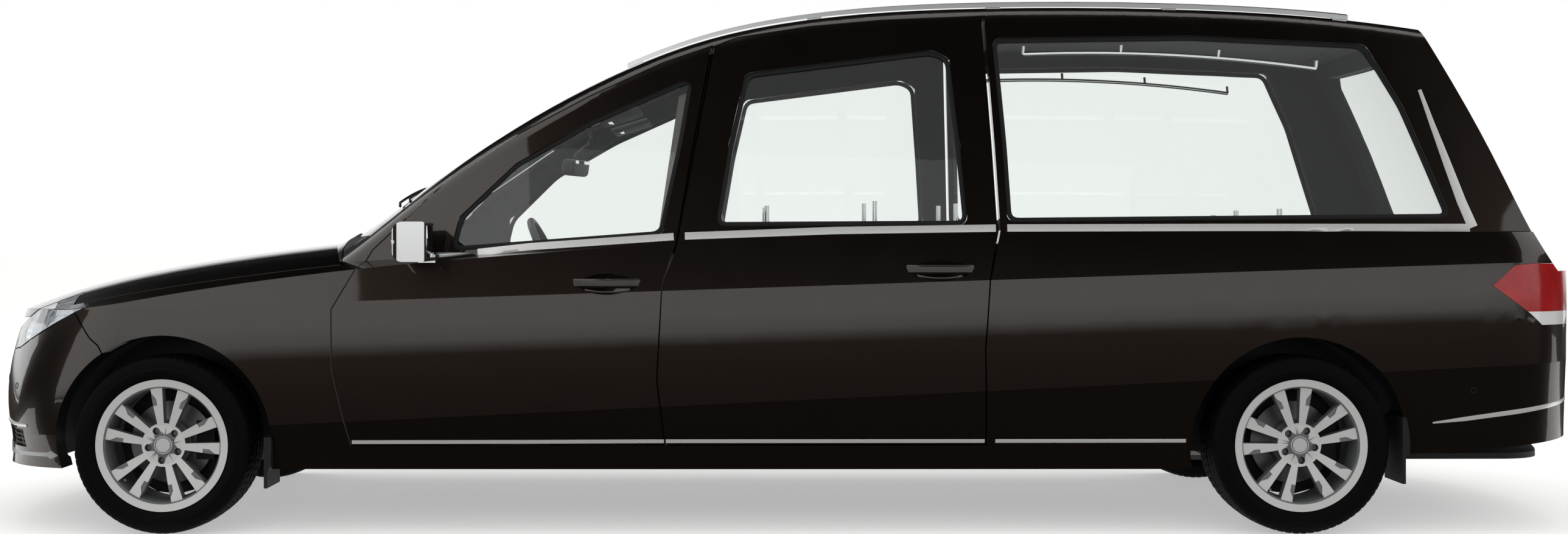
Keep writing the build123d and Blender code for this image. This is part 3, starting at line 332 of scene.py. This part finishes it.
def strip(name, skin, path, side, proud, material, closed=False, end_on=False):
    """A strip along path, rows of (x, z, half width), pressed onto the skin seen from one side.
    Seen end on, from the car's front or back, the rows are (y, z, half width)."""
    rows = []
    ends = path + path[:1] if closed else path
    for (xa, za, wa), (xb, zb, wb) in zip(ends, ends[1:]):
        count = max(1, int(hypot(xb - xa, zb - za) / row_step))
        rows += [(xa + (xb - xa) * i / count, za + (zb - za) * i / count,
                  wa + (wb - wa) * i / count) for i in range(count)]
    if not closed:
        rows.append(path[-1])
    look = Vector((-side, 0, 0)) if end_on else Vector((0, -side, 0))

    def touch(a, z):
        """The skin's own point and outward normal where it is seen from the side or the end."""
        start = Vector((side * beyond_end, a, z)) if end_on else Vector((a, side * beyond_side, z))
        spot, normal, _, _ = skin.ray_cast(start, look)
        if spot is None or spot.dot(look) > -near_half:
            return None
        return spot, normal if normal.dot(look) < 0 else -normal

    shape = bmesh.new()
    rings = []
    for i, (a, z, w) in enumerate(rows):
        ahead = rows[(i + 1) % len(rows)] if closed else rows[min(i + 1, len(rows) - 1)]
        behind = rows[i - 1] if closed else rows[max(i - 1, 0)]
        run, rise = ahead[0] - behind[0], ahead[1] - behind[1]
        reach = max(hypot(run, rise), 1e-9)
        middle = touch(a, z)
        if middle is None:
            continue
        core, out = middle
        ring = []
        for u, h in section:
            slip, lift = -rise / reach * w * u, run / reach * w * u
            spot = touch(a + slip, z + lift)
            flat = Vector((0, slip, lift)) if end_on else Vector((slip, 0, lift))
            place = core + flat - out * flat.dot(out)
            if spot is not None and (spot[0] - place).length < skin_jump:
                place = spot[0]
            ring.append(shape.verts.new(place + out * (proud * h - (edge_sink if h == 0 else 0))))
        rings.append(ring)
    for one, other in zip(rings, rings[1:] + rings[:1] if closed else rings[1:]):
        for j in range(len(section) - 1):
            shape.faces.new((one[j], one[j + 1], other[j + 1], other[j]))
    if not closed:
        shape.faces.new(rings[0])
        shape.faces.new(rings[-1])
    return finished_mesh(name, shape, material, 40)


# a pale satin shine that holds a blurred picture of the room
bright_strip = finish("bright_anodised_aluminium_strip", "#f1f1ef", 0.28, metallic=0.5, spread=0.04)
waist_half, sill_half, strip_proud, pillar_proud = 0.014, 0.007, 0.003, 0.002
strips = {
    "door_front_": (((-1.244, 0.990), (-0.900, 1.028), (-0.382, 1.064)),
                    ((-1.530, 0.331), (-0.9, 0.332), (-0.4165, 0.334))),
    "door_rear_": (((-0.372, 1.065), (0.2, 1.086), (0.770, 1.0945)),
                   ((-0.4095, 0.334), (0.730, 0.334))),
    "side_": (((0.781, 1.095), (1.6, 1.097), (2.484, 1.097)),
              ((0.737, 0.334), (1.482, 0.334))),
}
pillar_line = [(2.338, 1.600, 0.007), (2.375, 1.470, 0.011), (2.418, 1.330, 0.016),
               (2.462, 1.190, 0.019), (2.498, 1.098, 0.020)]
bumper_line = [(2.335, 0.398, 0.003), (2.45, 0.412, 0.008), (2.62, 0.436, 0.009),
               (2.80, 0.462, 0.008), (2.90, 0.478, 0.004)]
for side, word in sides:
    for panel, (waist, sill) in strips.items():
        body = "body" if panel == "side_" else panel + word
        skin = skin_of(panel + word)
        for name, line, half in (("waist_strip", waist, waist_half),
                                 ("sill_strip", sill, sill_half)):
            rows = [(x, z, half) for x, z in line]
            mesh = strip(name, skin, rows, side, strip_proud, bright_strip)
            fitted(name + "_" + panel + word, mesh, body)
    for name, panel, rows, proud in (
        ("pillar_strip", "side_" + word, pillar_line, pillar_proud),
        ("bumper_strip", "bumper_back", bumper_line, strip_proud),
    ):
        mesh = strip(name, skin_of(panel), rows, side, proud, bright_strip)
        fitted(name + "_" + word, mesh, "body")


# A thin bar closes the top of the intake under the nose, and a grip bar crosses the tailgate over
# its plate recess. Both are anodised aluminium as well, and are screwed on from behind.
def crosswise(reach, height, half, step=0.02):
    """The rows of a level strip across the car, as far to its left as to its right."""
    return [(-reach + step * i, height, half) for i in range(round(2 * reach / step) + 1)]


for name, panel, body, rows, end, proud in (
    ("nose_bar", "bumper_nose", "body", crosswise(0.80, 0.381, 0.006), -1, 0.004),
    ("grip_bar", "tailgate", "tailgate", crosswise(0.30, 0.926, 0.011), 1, 0.008),
):
    mesh = strip(name, skin_of(panel), rows, end, proud, bright_strip, end_on=True)
    fitted(name, mesh, body)

# Eight parking sensors sit flush in the two bumpers. Each is a small moulded cup that snaps into
# a hole, and shows as a dark ring.
ring_radius, ring_half, ring_proud, ring_steps = 0.010, 0.0022, 0.0014, 16
# smooth black plastic: a small soft highlight
sensor_black = finish("moulded_sensor_cup", "#1c1c1d", 0.35, spread=0.04)


def sensor(part, place, along, height, side, end_on):
    """A ring on the bumper of the nose or the back, about a point of its side or its end."""
    ring = [(along + ring_radius * cos(2 * pi * i / ring_steps),
             height + ring_radius * sin(2 * pi * i / ring_steps), ring_half)
            for i in range(ring_steps)]
    mesh = strip("sensor", skin_of("bumper_" + part), ring, side, ring_proud, sensor_black,
                 closed=True, end_on=end_on)
    fitted("sensor_%s_%s" % (part, place), mesh, "body")


for side, word in sides:
    sensor("nose", word, -2.800, 0.517, side, False)
    sensor("back", word, 2.475, 0.515, side, False)
for end, part in ((-1, "nose"), (1, "back")):
    for centimetres in (-42, 42):
        sensor(part, centimetres, centimetres / 100, 0.530, end, True)


# Rubber seals run round every side pane. They are extruded black EPDM, and hide the edge where
# the glass is bonded to its frame.
def rounded(corners, radius, steps=5):
    """A closed outline with its corners rounded by arcs that start radius away on each side, or
    where the side is short a little before its middle."""
    short = 2.2
    line = []
    for i, corner in enumerate(corners):
        tip = Vector(corner)
        before = Vector(corners[i - 1]) - tip
        after = Vector(corners[(i + 1) % len(corners)]) - tip
        reach = min(radius, before.length / short, after.length / short)
        a, b = tip + before.normalized() * reach, tip + after.normalized() * reach
        for k in range(steps + 1):
            t = k / steps
            line.append(a * (1 - t) ** 2 + tip * (2 * t * (1 - t)) + b * t ** 2)
    return line


seal_half, seal_proud, pane_corner = 0.009, 0.006, 0.034
# matt black with a skin of fine pits
seal_rubber = finish("extruded_black_epdm_seal", "#121313", 0.7, bump=(1.5, 0.05))
panes = {
    "door_front": [(-1.180, 1.020), (-1.152, 1.130), (-0.956, 1.322), (-0.690, 1.474),
                   (-0.322, 1.637), (-0.360, 1.400), (-0.428, 1.076)],
    "door_rear": [(-0.226, 1.108), (-0.176, 1.400), (-0.117, 1.651), (0.556, 1.736),
                  (0.612, 1.708), (0.641, 1.400), (0.663, 1.113)],
    "quarter": [(0.821, 1.123), (0.809, 1.400), (0.785, 1.781), (1.500, 1.791), (2.142, 1.762),
                (2.261, 1.537), (2.407, 1.138)],
}
for side, word in sides:
    for part, glass, body in (("door_front", "glass_front_" + word, "door_front_" + word),
                              ("door_rear", "glass_rear_" + word, "door_rear_" + word),
                              ("quarter", "quarter_windows", "body")):
        path = [(p.x, p.y, seal_half) for p in rounded(panes[part], pane_corner)]
        mesh = strip("seal", skin_of(glass), path, side, seal_proud, seal_rubber, closed=True)
        fitted("seal_" + part + "_" + word, mesh, body)

# The grille and the roof rails are ABS with bright chrome. The cowl, mud flaps, arch liners and
# intake slats are polypropylene, moulded with a grain and left black, and are clipped on.

# a mirror-like plating, tinted only by what it reflects
bright_chrome = finish("bright_chrome_on_abs", "#dcdddd", 0.05, metallic=1.0, spread=0.015)
# a dull black with a leathery relief
grained_black = finish("grained_black_polypropylene", "#191a1a", 0.55, bump=(1.4, 0.06),
                       spread=0.08)
painted(("grille", "roof_rails"), bright_chrome)
painted(("cowl", "mud_flaps", "arch_liners", "intake_slats"), grained_black)


# Each door mirror is a plated shell on a grained black foot, screwed to the front door. Silvered
# glass fills its back, and a clear light band runs across its front.
edge_steps, bar_sides = 4, 16
slanted = Vector((0.31, 0.17, 0.93))  # along no bar, so every bar's crosswise is clear of it


def shaped(name, blocks, tubes, material, crease=35):
    """A mesh of rounded blocks, (size, edge radius, place), and round bars, (points, radius)."""
    whole = bmesh.new()
    for size, edge, place in blocks:
        one = bmesh.new()
        bmesh.ops.create_cube(one, size=1.0)
        bmesh.ops.scale(one, vec=Vector(size), verts=one.verts)
        bmesh.ops.bevel(one, geom=list(one.edges), offset=edge, segments=edge_steps, profile=0.5,
                        affect="EDGES")
        bmesh.ops.transform(one, matrix=place, verts=one.verts)
        held = bpy.data.meshes.new("held")
        one.to_mesh(held)
        one.free()
        whole.from_mesh(held)
        bpy.data.meshes.remove(held)
    for points, radius in tubes:
        points = [Vector(q) for q in points]
        rings = []
        for i, spot in enumerate(points):
            ahead = (points[min(i + 1, len(points) - 1)] - points[max(i - 1, 0)]).normalized()
            across = ahead.cross(slanted).normalized()
            over = across.cross(ahead)
            ring = []
            for k in range(bar_sides):
                turn = pi * k / (bar_sides / 2)
                outwards = across * cos(turn) + over * sin(turn)
                ring.append(whole.verts.new(spot + outwards * radius))
            rings.append(ring)
        for one, other in zip(rings, rings[1:]):
            for k in range(bar_sides):
                after = (k + 1) % bar_sides
                whole.faces.new((one[k], one[after], other[after], other[k]))
        whole.faces.new(rings[0][::-1])
        whole.faces.new(rings[-1])
    return finished_mesh(name, whole, material, crease)


def at(x, y, z, about_y=0.0, about_z=0.0):
    """A place in metres and a turn in degrees."""
    return (Matrix.Translation((x, y, z)) @ Matrix.Rotation(radians(about_z), 4, "Z")
            @ Matrix.Rotation(radians(about_y), 4, "Y"))


# the foot and the back of the shell, round the glass, stay black
foot_end, looks_back = 0.893, 0.8
painted(("mirror_left", "mirror_right"), bright_chrome, grained_black,
        lambda face: abs(face.center.y) < foot_end or face.normal.x > looks_back)
# a flawless mirror, a touch blue
silvered_glass = finish("silvered_mirror_glass", "#e6eaec", 0.02, metallic=1.0)
# clear plastic over a silvered bowl: bright, with a sharp surface shine
light_band = finish("clear_light_band_over_silver", "#c9cbcc", 0.12, metallic=0.7, Coat_Weight=1.0)
for side, word in sides:
    body = "door_front_" + word
    glass = ((0.003, 0.170, 0.114), 0.0012, at(-1.2362, side * 0.990, 1.047))
    mesh = shaped("mirror_glass", [glass], [], silvered_glass)
    fitted("mirror_glass_" + word, mesh, body)
    path = [(side * 0.915, 1.048, 0.004), (side * 0.96, 1.048, 0.008),
            (side * 1.05, 1.046, 0.009), (side * 1.074, 1.046, 0.006)]
    mesh = strip("light_band", skin_of("mirror_" + word), path, -1, 0.002, light_band, end_on=True)
    fitted("light_band_" + word, mesh, body)

# The lamps have clear and red polycarbonate covers, welded over vacuum-metallised bowls. The red
# covers are smooth outside and have fine prisms on their inner side.

# water clear, with a sharp reflection
cover_clear = clear("clear_polycarbonate_cover", "#f6f8f9", ior=1.5)
# deep red under a gloss, with darker patches about 28 mm wide: painted light and shade that stand
# in for how fields of prisms bend the light
red_cover = finish("moulded_red_polycarbonate", "#b80c12", 0.25, grain=(28, "#7c060b"),
                   Coat_Weight=0.6, Coat_Roughness=0.05)
# a mirror with shallow dents 14 mm wide, which break up what it reflects
metallised = finish("vacuum_metallised_reflector", "#d6d9dc", 0.12, metallic=1.0, bump=(14, 0.4))
# milky white under a gloss
frosted_clear = finish("frosted_clear_polycarbonate", "#dfe0e0", 0.2, Coat_Weight=1.0)
painted(("tail_lamps",), red_cover)
painted(("headlamp_lenses",), cover_clear)
painted(("headlamps",), metallised)
painted(("reversing_lamps",), frosted_clear)

# A third stop lamp is let into the top of the tailgate. It is one narrow bar of the same red
# polycarbonate, clipped in from outside.
mesh = strip("high_stop_lamp", skin_of("tailgate"), crosswise(0.17, 1.800, 0.009), 1, 0.003,
             red_cover, end_on=True)
fitted("high_stop_lamp", mesh, "tailgate")

# The wheels are cast aluminium, enamelled grey all over and then turned on a lathe, which leaves
# the spokes' faces and the flange bright. Five bolts hold each on its hub.
axle_height = 0.320
axles = (("front", -2.205, 82.5), ("rear", 1.855, 98.0))  # place, and the rim's turn in degrees
# the lathe cuts outside the hub and further out than dish_start, but not the centre's flat step
hub_edge, dish_start, step_out, step_play = 0.052, 0.87, 0.894, 0.0006
faces_out, faces_straight_out = 0.9, 0.9999
# a soft grey, smooth but not bright
grey_enamel = finish("grey_enamelled_cast_aluminium", "#77797a", 0.4, metallic=0.25, spread=0.05)
# pale bright metal under satin lacquer; the lathe's rings are too fine to see
turned_face = finish("lathe_turned_and_lacquered_aluminium", "#dcdcdb", 0.4, metallic=0.3,
                     spread=0.04)


def turned(face):
    """True on the outer faces that the lathe has cut: the dish over the spokes and the flange."""
    side = -1 if face.center.y < 0 else 1
    axle = axles[0][1] if face.center.x < 0 else axles[1][1]
    radius = hypot(face.center.x - axle, face.center.z - axle_height)
    out, facing = face.center.y * side, face.normal.y * side
    if abs(out - step_out) < step_play and facing > faces_straight_out:
        return False
    return facing > faces_out and out > dish_start and radius > hub_edge


painted(["rim_%s_%s" % (end, word) for end in ("front", "rear") for word in ("left", "right")],
        grey_enamel, turned_face, turned)

# Each wheel has five round bolt heads in its holes, a plain cap with a raised ring snapped into
# the hub, and a tyre valve in the well of the rim.
bolts, bolt_circle, bolt_radius, bolt_depths = 5, 0.056, 0.0095, (0.8535, 0.864, 0.869)
cap_ring, cap_wire, cap_ring_out = 0.030, 0.0016, 0.8932
boss_radius, boss_in, boss_out = 0.0255, 0.8925, 0.8945
valve_turn, valve_radius = 139.5, 0.0045
valve_points = ((0.2005, 0.846), (0.193, 0.868), (0.190, 0.878))  # (from the axle, out)
# bright grey metal with a fine crystal shimmer
bolt_steel = finish("zinc_plated_steel_bolt", "#8c8d8e", 0.3, metallic=1.0, spread=0.05)
# light satin silver
cap_silver = finish("silver_lacquered_abs_cap", "#d3d4d5", 0.35, metallic=0.35)
# plain grey plastic
valve_rubber = finish("valve_rubber_with_grey_cap", "#7d7e7f", 0.5)
for end, axle, turn in axles:
    for side, word in sides:
        body = "wheel_%s_%s" % (end, word)
        heads = []
        for i in range(bolts):
            a = radians(turn + (i + 0.5) * 360 / bolts)
            x, z = axle + bolt_circle * cos(a), axle_height + bolt_circle * sin(a)
            heads.append(([(x, side * y, z) for y in bolt_depths], bolt_radius))
        mesh = shaped("bolts", [], heads, bolt_steel, 50)
        fitted("bolts_%s_%s" % (end, word), mesh, body)
        ring = [(axle + cap_ring * cos(pi * i / 20), side * cap_ring_out,
                 axle_height + cap_ring * sin(pi * i / 20)) for i in range(41)]
        boss = [(axle, side * y, axle_height) for y in (boss_in, boss_out)]
        mesh = shaped("cap", [], [(ring, cap_wire), (boss, boss_radius)], cap_silver)
        fitted("cap_%s_%s" % (end, word), mesh, body)
        a = radians(turn + valve_turn)
        stem = [(axle + r * cos(a), side * y, axle_height + r * sin(a)) for r, y in valve_points]
        mesh = shaped("valve", [], [(stem, valve_radius)], valve_rubber)
        fitted("valve_%s_%s" % (end, word), mesh, body)

# Behind each wheel stand a ground grey-iron brake disc and a pressed steel splash shield, which
# is bolted to the knuckle in front and to the carrier at the back.
shield_radius, shield_out, shield_in = 0.194, 0.7480, 0.7465
# thin matt black paint
shield_black = finish("black_painted_pressed_steel", "#101010", 0.6)
# bare metal, worn bright and slightly uneven by the pads
disc_steel = finish("ground_grey_iron_disc", "#8f8f90", 0.35, metallic=1.0, spread=0.06)
for end, axle, _ in axles:
    for side, word in sides:
        plate = [(axle, side * y, axle_height) for y in (shield_out, shield_in)]
        mesh = shaped("splash_shield", [], [(plate, shield_radius)], shield_black)
        fitted("splash_shield_%s_%s" % (end, word), mesh,
               "knuckle_" + word if end == "front" else "body")
painted(["disc_%s_%s" % (end, word) for end in ("front", "rear") for word in ("left", "right")],
        disc_steel)

# The engine, carriers, uprights and knuckles are sand cast iron, and the exhaust is aluminised
# pipe. They bolt to the floor's rails, which are sprayed with wax underneath.

# dark dull metal, rough from the sand
cast_iron = finish("sand_cast_iron", "#2e2e2f", 0.6, metallic=0.5, bump=(3, 0.15))
# a grey metal, brighter and duller in patches
pipe_steel = finish("aluminised_steel_pipe", "#8a8784", 0.45, metallic=0.9, spread=0.1)
# black with the blobs and runs of a thick spray
under_wax = finish("black_underbody_wax", "#141414", 0.6, bump=(9, 0.3))
painted(("engine", "front_carrier", "rear_carrier", "rear_uprights", "knuckle_left",
         "knuckle_right"), cast_iron)
painted(("exhaust",), pipe_steel)
painted(("floor",), under_wax)

# The tyres are vulcanised rubber: a road tread with four grooves round it, cross sipes, a rounded
# shoulder and rings moulded in the wall. Each grips its rim by the beads.
tyre_middle, around = 0.8, 288
# sipes cut every fourth row of the lands and the shoulders, but not the floors of the grooves
sipe_every, sipe_depth, sipe_slant = 4, 0.0032, 46
land_radius, groove_radius, shoulder_start = 0.3006, 0.313, 0.09
# nearly black and dull, with a fine moulded pit
tyre_rubber = finish("vulcanised_tyre_rubber", "#060606", 0.75, bump=(2.2, 0.05), spread=0.06,
                     Specular_IOR_Level=0.15)
# half the outline, from bead to middle, as (across, radius)
half_tread = [(-0.104, 0.216), (-0.106, 0.236), (-0.1115, 0.240), (-0.1165, 0.246),
              (-0.1212, 0.262), (-0.1224, 0.268), (-0.1216, 0.276), (-0.1205, 0.2775),
              (-0.1198, 0.2805), (-0.1206, 0.2815), (-0.1185, 0.292), (-0.116, 0.300),
              (-0.1135, 0.3065), (-0.110, 0.311), (-0.104, 0.3138), (-0.096, 0.316),
              (-0.078, 0.3174), (-0.072, 0.3176), (-0.069, 0.3105), (-0.063, 0.3105),
              (-0.060, 0.3181), (-0.030, 0.3193), (-0.026, 0.3125), (-0.018, 0.3125),
              (-0.014, 0.3198)]
tread_rows = half_tread + [(-y, r) for y, r in reversed(half_tread)]
for end, axle, _ in axles:
    for side, word in sides:
        shape = bmesh.new()
        rings = []
        for i in range(around):
            a = 2 * pi * i / around
            ring = []
            for y, r in tread_rows:
                slant = int(round(abs(y) * sipe_slant))
                on_land = r > land_radius and (r > groove_radius or abs(y) > shoulder_start)
                if on_land and (i + slant) % sipe_every == 0:
                    r -= sipe_depth
                ring.append(shape.verts.new((axle + r * cos(a), side * tyre_middle + y,
                                             axle_height + r * sin(a))))
            rings.append(ring)
        for here, there in zip(rings, rings[1:] + rings[:1]):
            for j in range(len(tread_rows) - 1):
                shape.faces.new((here[j], here[j + 1], there[j + 1], there[j]))
            shape.faces.new((here[-1], here[0], there[0], there[-1]))
        mesh = finished_mesh("tyre_rubber", shape, tyre_rubber, 34)
        wheel = "%s_%s" % (end, word)
        fitted("treaded_tyre_" + wheel, mesh, "wheel_" + wheel, ("tyre_" + wheel,))

# The dashboard is foam under a slush-moulded skin, hung on the bulkhead. The steering wheel is an
# iron ring in foam under sewn black leather, on its column.

# dull black with a fine grain
soft_dash = finish("slush_moulded_pvc_skin", "#232424", 0.6, bump=(1.8, 0.1))
# smoother and a little polished by hands
wheel_leather = finish("black_wheel_leather", "#1b1a1a", 0.45, bump=(1.2, 0.06), spread=0.06)
painted(("dashboard",), soft_dash)
painted(("steering_wheel",), wheel_leather)

# The two front seats are foam pads under grained leather, sewn in three panels, on a moulded
# shell with four feet. Air pressure swells each pad out of a smaller block, and its seams pull it
# down again.
seam_depth, seam_width = 0.007, 0.007
air_pressure, air_steps = 4.0, 20


def worked_out(thing):
    """A new mesh of the thing as its modifiers leave it."""
    settled = bpy.context.evaluated_depsgraph_get()
    return bpy.data.meshes.new_from_object(thing.evaluated_get(settled))


# pores of about 1.6 mm, and a grey that changes a little every 40 mm or so
seat_leather = finish("grained_grey_leather", "#3c3d3f", 0.5, bump=(1.6, 0.1), spread=0.08,
                      grain=(40, "#333436"))


def upholstered(name, size, edge, seams, weave=0.011, give=0.012):
    """A swollen leather pad about the origin. weave is how fine its mesh is, give is how far it
    may swell, and seams are (axis, place, the axis that they cut along, the side they cut)."""
    block = shaped(name, [(size, edge, Matrix.Identity(4))], [], seat_leather)
    pad = bpy.data.objects.new(name, block)
    bpy.context.scene.collection.objects.link(pad)
    net = pad.modifiers.new("net", "REMESH")
    net.mode = "VOXEL"
    net.voxel_size = weave
    mesh = worked_out(pad)
    pad.modifiers.clear()
    pad.data = mesh
    air = pad.modifiers.new("air", "CLOTH")
    air.settings.use_pressure = True
    air.settings.uniform_pressure_force = air_pressure
    air.settings.effector_weights.gravity = 0.0
    air.point_cache.frame_end = air_steps
    for step in range(1, air_steps + 1):
        bpy.context.scene.frame_set(step)
    blown = pad.evaluated_get(bpy.context.evaluated_depsgraph_get()).data
    moves = [b.co - a.co for a, b in zip(mesh.vertices, blown.vertices)]
    pad.modifiers.clear()
    for vertex, move in zip(mesh.vertices, moves):
        vertex.co += move * min(1.0, give / max(move.length, 1e-6))
    bpy.context.scene.frame_set(1)
    finer = pad.modifiers.new("finer", "SUBSURF")
    finer.levels = 1
    smooth = worked_out(pad)
    bpy.data.objects.remove(pad)
    for vertex in smooth.vertices:
        for axis, where, face, sign in seams:
            if vertex.co[face] * sign > 0:
                off = (vertex.co[axis] - where) / seam_width
                vertex.co[face] -= sign * seam_depth * exp(-off ** 2)
    smooth.materials.clear()
    smooth.materials.append(seat_leather)
    smooth.shade_smooth()
    return smooth


cushion = upholstered("seat_cushion", (0.50, 0.46, 0.105), 0.045,
                      ((1, -0.13, 2, 1), (1, 0.13, 2, 1), (0, 0.08, 2, 1)))
backrest = upholstered("seat_back", (0.105, 0.44, 0.47), 0.045,
                       ((1, -0.12, 0, -1), (1, 0.12, 0, -1), (2, 0.08, 0, -1)))
headrest = upholstered("head_rest", (0.075, 0.25, 0.12), 0.03,
                       ((1, -0.085, 0, -1), (1, 0.085, 0, -1)), 0.009, 0.006)
# matt black, with a fine grain from the mould
moulded_shell = finish("moulded_seat_shell", "#1d1e1e", 0.6, bump=(1.5, 0.06))
seat_out = 0.385
for side, word in sides:
    y = side * seat_out
    for name, mesh, place in (
        ("seat_cushion_", cushion, at(-0.672, y, 0.602, 4)),
        ("seat_back_", backrest, at(-0.322, y, 0.868, 15)),
        ("head_rest_", headrest, at(-0.255, y, 1.105, 15)),
    ):
        pad = fitted(name + word, mesh.copy(), "body", place=place)
    pan = ((0.50, 0.44, 0.05), 0.015, at(-0.665, y, 0.535, 4))
    back = ((0.030, 0.42, 0.44), 0.012, at(-0.268, y, 0.850, 15))
    hinge = ((0.10, 0.40, 0.08), 0.02, at(-0.420, y, 0.575, 30))
    feet = [((0.040, 0.030, 0.235), 0.006, at(x, y + across, 0.3935))
            for x in (-0.84, -0.46) for across in (-0.19, 0.19)]
    posts = [(((-0.290, y + across, 0.98), (-0.262, y + across, 1.09)), 0.006)
             for across in (-0.06, 0.06)]
    mesh = shaped("seat_shell", [pan, back, hinge] + feet, posts, moulded_shell)
    # one CAD node holds both seats, so the left shell replaces it
    fitted("seat_shell_" + word, mesh, "body", ("seats",) if side < 0 else ())

# The inside mirror is silvered glass in a moulded shell. It hangs on a bent arm from a foot that
# is glued under the front edge of the roof.
arm = [(-0.752, 0, 1.512), (-0.744, 0, 1.484), (-0.742, 0, 1.455), (-0.757, 0, 1.428),
       (-0.782, 0, 1.408), (-0.802, 0, 1.390), (-0.809, 0, 1.368)]
head = ((0.052, 0.230, 0.066), 0.018, at(-0.806, 0.0, 1.338, 8, -12))
foot = ((0.085, 0.120, 0.035), 0.012, at(-0.745, 0.0, 1.525, -24))
glass = ((0.002, 0.200, 0.050), 0.0008, at(-0.7795, 0.005, 1.341, 8, -12))
fitted("inside_mirror", shaped("inside_mirror", [head, foot], [(arm, 0.009)], grained_black),
       "body")
fitted("inside_mirror_glass", shaped("inside_mirror_glass", [glass], [], silvered_glass),
       "body")

# A sun visor folds up under the roof on each side. It is a board padded with foam and covered in
# vinyl, with a narrow lamp along its front edge.

# a soft grey-green with a fine pressed grain
visor_cloth = finish("vinyl_covered_sun_visor", "#3a423d", 0.75, bump=(1.6, 0.08))
for side, word in sides:
    y = side * 0.375
    flap = ((0.160, 0.360, 0.020), 0.009, at(-0.600, y, 1.520, -17))
    bar = ((0.016, 0.200, 0.010), 0.004, at(-0.640, y, 1.500, -17))
    mesh = shaped("sun_visor", [flap], [], visor_cloth)
    fitted("sun_visor_" + word, mesh, "body")
    mesh = shaped("visor_light", [bar], [], light_band)
    fitted("visor_light_" + word, mesh, "body")

# A rail runs under the roof on each side of the load space, for tying wreaths to. It is chromed
# tube, bowed a little, and hangs on four feet.
rail_radius, rail_out, rail_start, rail_height = 0.008, 0.655, 0.90, 1.742
rail_step, rail_steps, rail_bow, highest_step = 0.06, 18, 0.0012, 4
feet_apart, foot_radius, foot_slant, foot_rise = 6, 0.006, 0.012, 0.030
for side, word in sides:
    y = side * rail_out
    rail = [(rail_start + rail_step * i, y, rail_height - rail_bow * (i - highest_step) ** 2 / 4)
            for i in range(rail_steps + 1)]
    feet = [((rail[i], (rail[i][0], y + side * foot_slant, rail[i][2] + foot_rise)), foot_radius)
            for i in range(0, rail_steps + 1, feet_apart)]
    mesh = shaped("wreath_rail", [], [(rail, rail_radius)] + feet, bright_chrome)
    fitted("wreath_rail_" + word, mesh, "body")

# Two wipers lie at the foot of the windscreen, on spindles that come up through the cowl. Each is
# a painted steel arm with a rubber blade beside it.
wiper_spans = ((-0.62, -0.05), (0.02, 0.58))
wiper_bars = ((0.006, 0.004, 0.0), (0.016, 0.005, 0.03))  # (off the glass, radius, ahead)
parked, bow, over_roof, wiper_steps = -1.415, 0.05, 2.2, 12
screen = skin_of("windscreen")
# black with a satin shine
wiper_black = finish("satin_black_painted_steel", "#151515", 0.45)
sweeps = []
for start, stop in wiper_spans:
    for lift, radius, ahead in wiper_bars:
        line = []
        for i in range(wiper_steps + 1):
            x = parked - ahead + bow * abs(i - 6) / 6
            y = start + (stop - start) * i / wiper_steps
            spot, normal, _, _ = screen.ray_cast(Vector((x, y, over_roof)), Vector((0, 0, -1)))
            if spot is not None:
                line.append(spot + (normal if normal.z > 0 else -normal) * lift)
        sweeps.append((line, radius))
fitted("wipers", shaped("wipers", [], sweeps, wiper_black), "body")

# The deck is a varnished walnut board with two plated rails. Each bier pin is a turned brass pin
# under chrome, with a black rubber disc at its foot, and is screwed down through the rail.
disc_foot, disc_top = 1.0505, 1.0765
# dark brown with darker figure, under a thick gloss
board_veneer = finish("varnished_dark_walnut_board", "#2b1a12", 0.3, grain=(60, "#1c110b"),
                      Coat_Weight=0.6)
# a near mirror, very slightly soft
pin_chrome = finish("chrome_on_turned_brass", "#d9dadb", 0.08, metallic=1.0)
# plain matt black
disc_rubber = finish("moulded_black_rubber_disc", "#161616", 0.6)
painted(("deck",), board_veneer)
painted(("deck_fittings",), pin_chrome, disc_rubber,
        lambda face: disc_foot < face.center.z < disc_top)
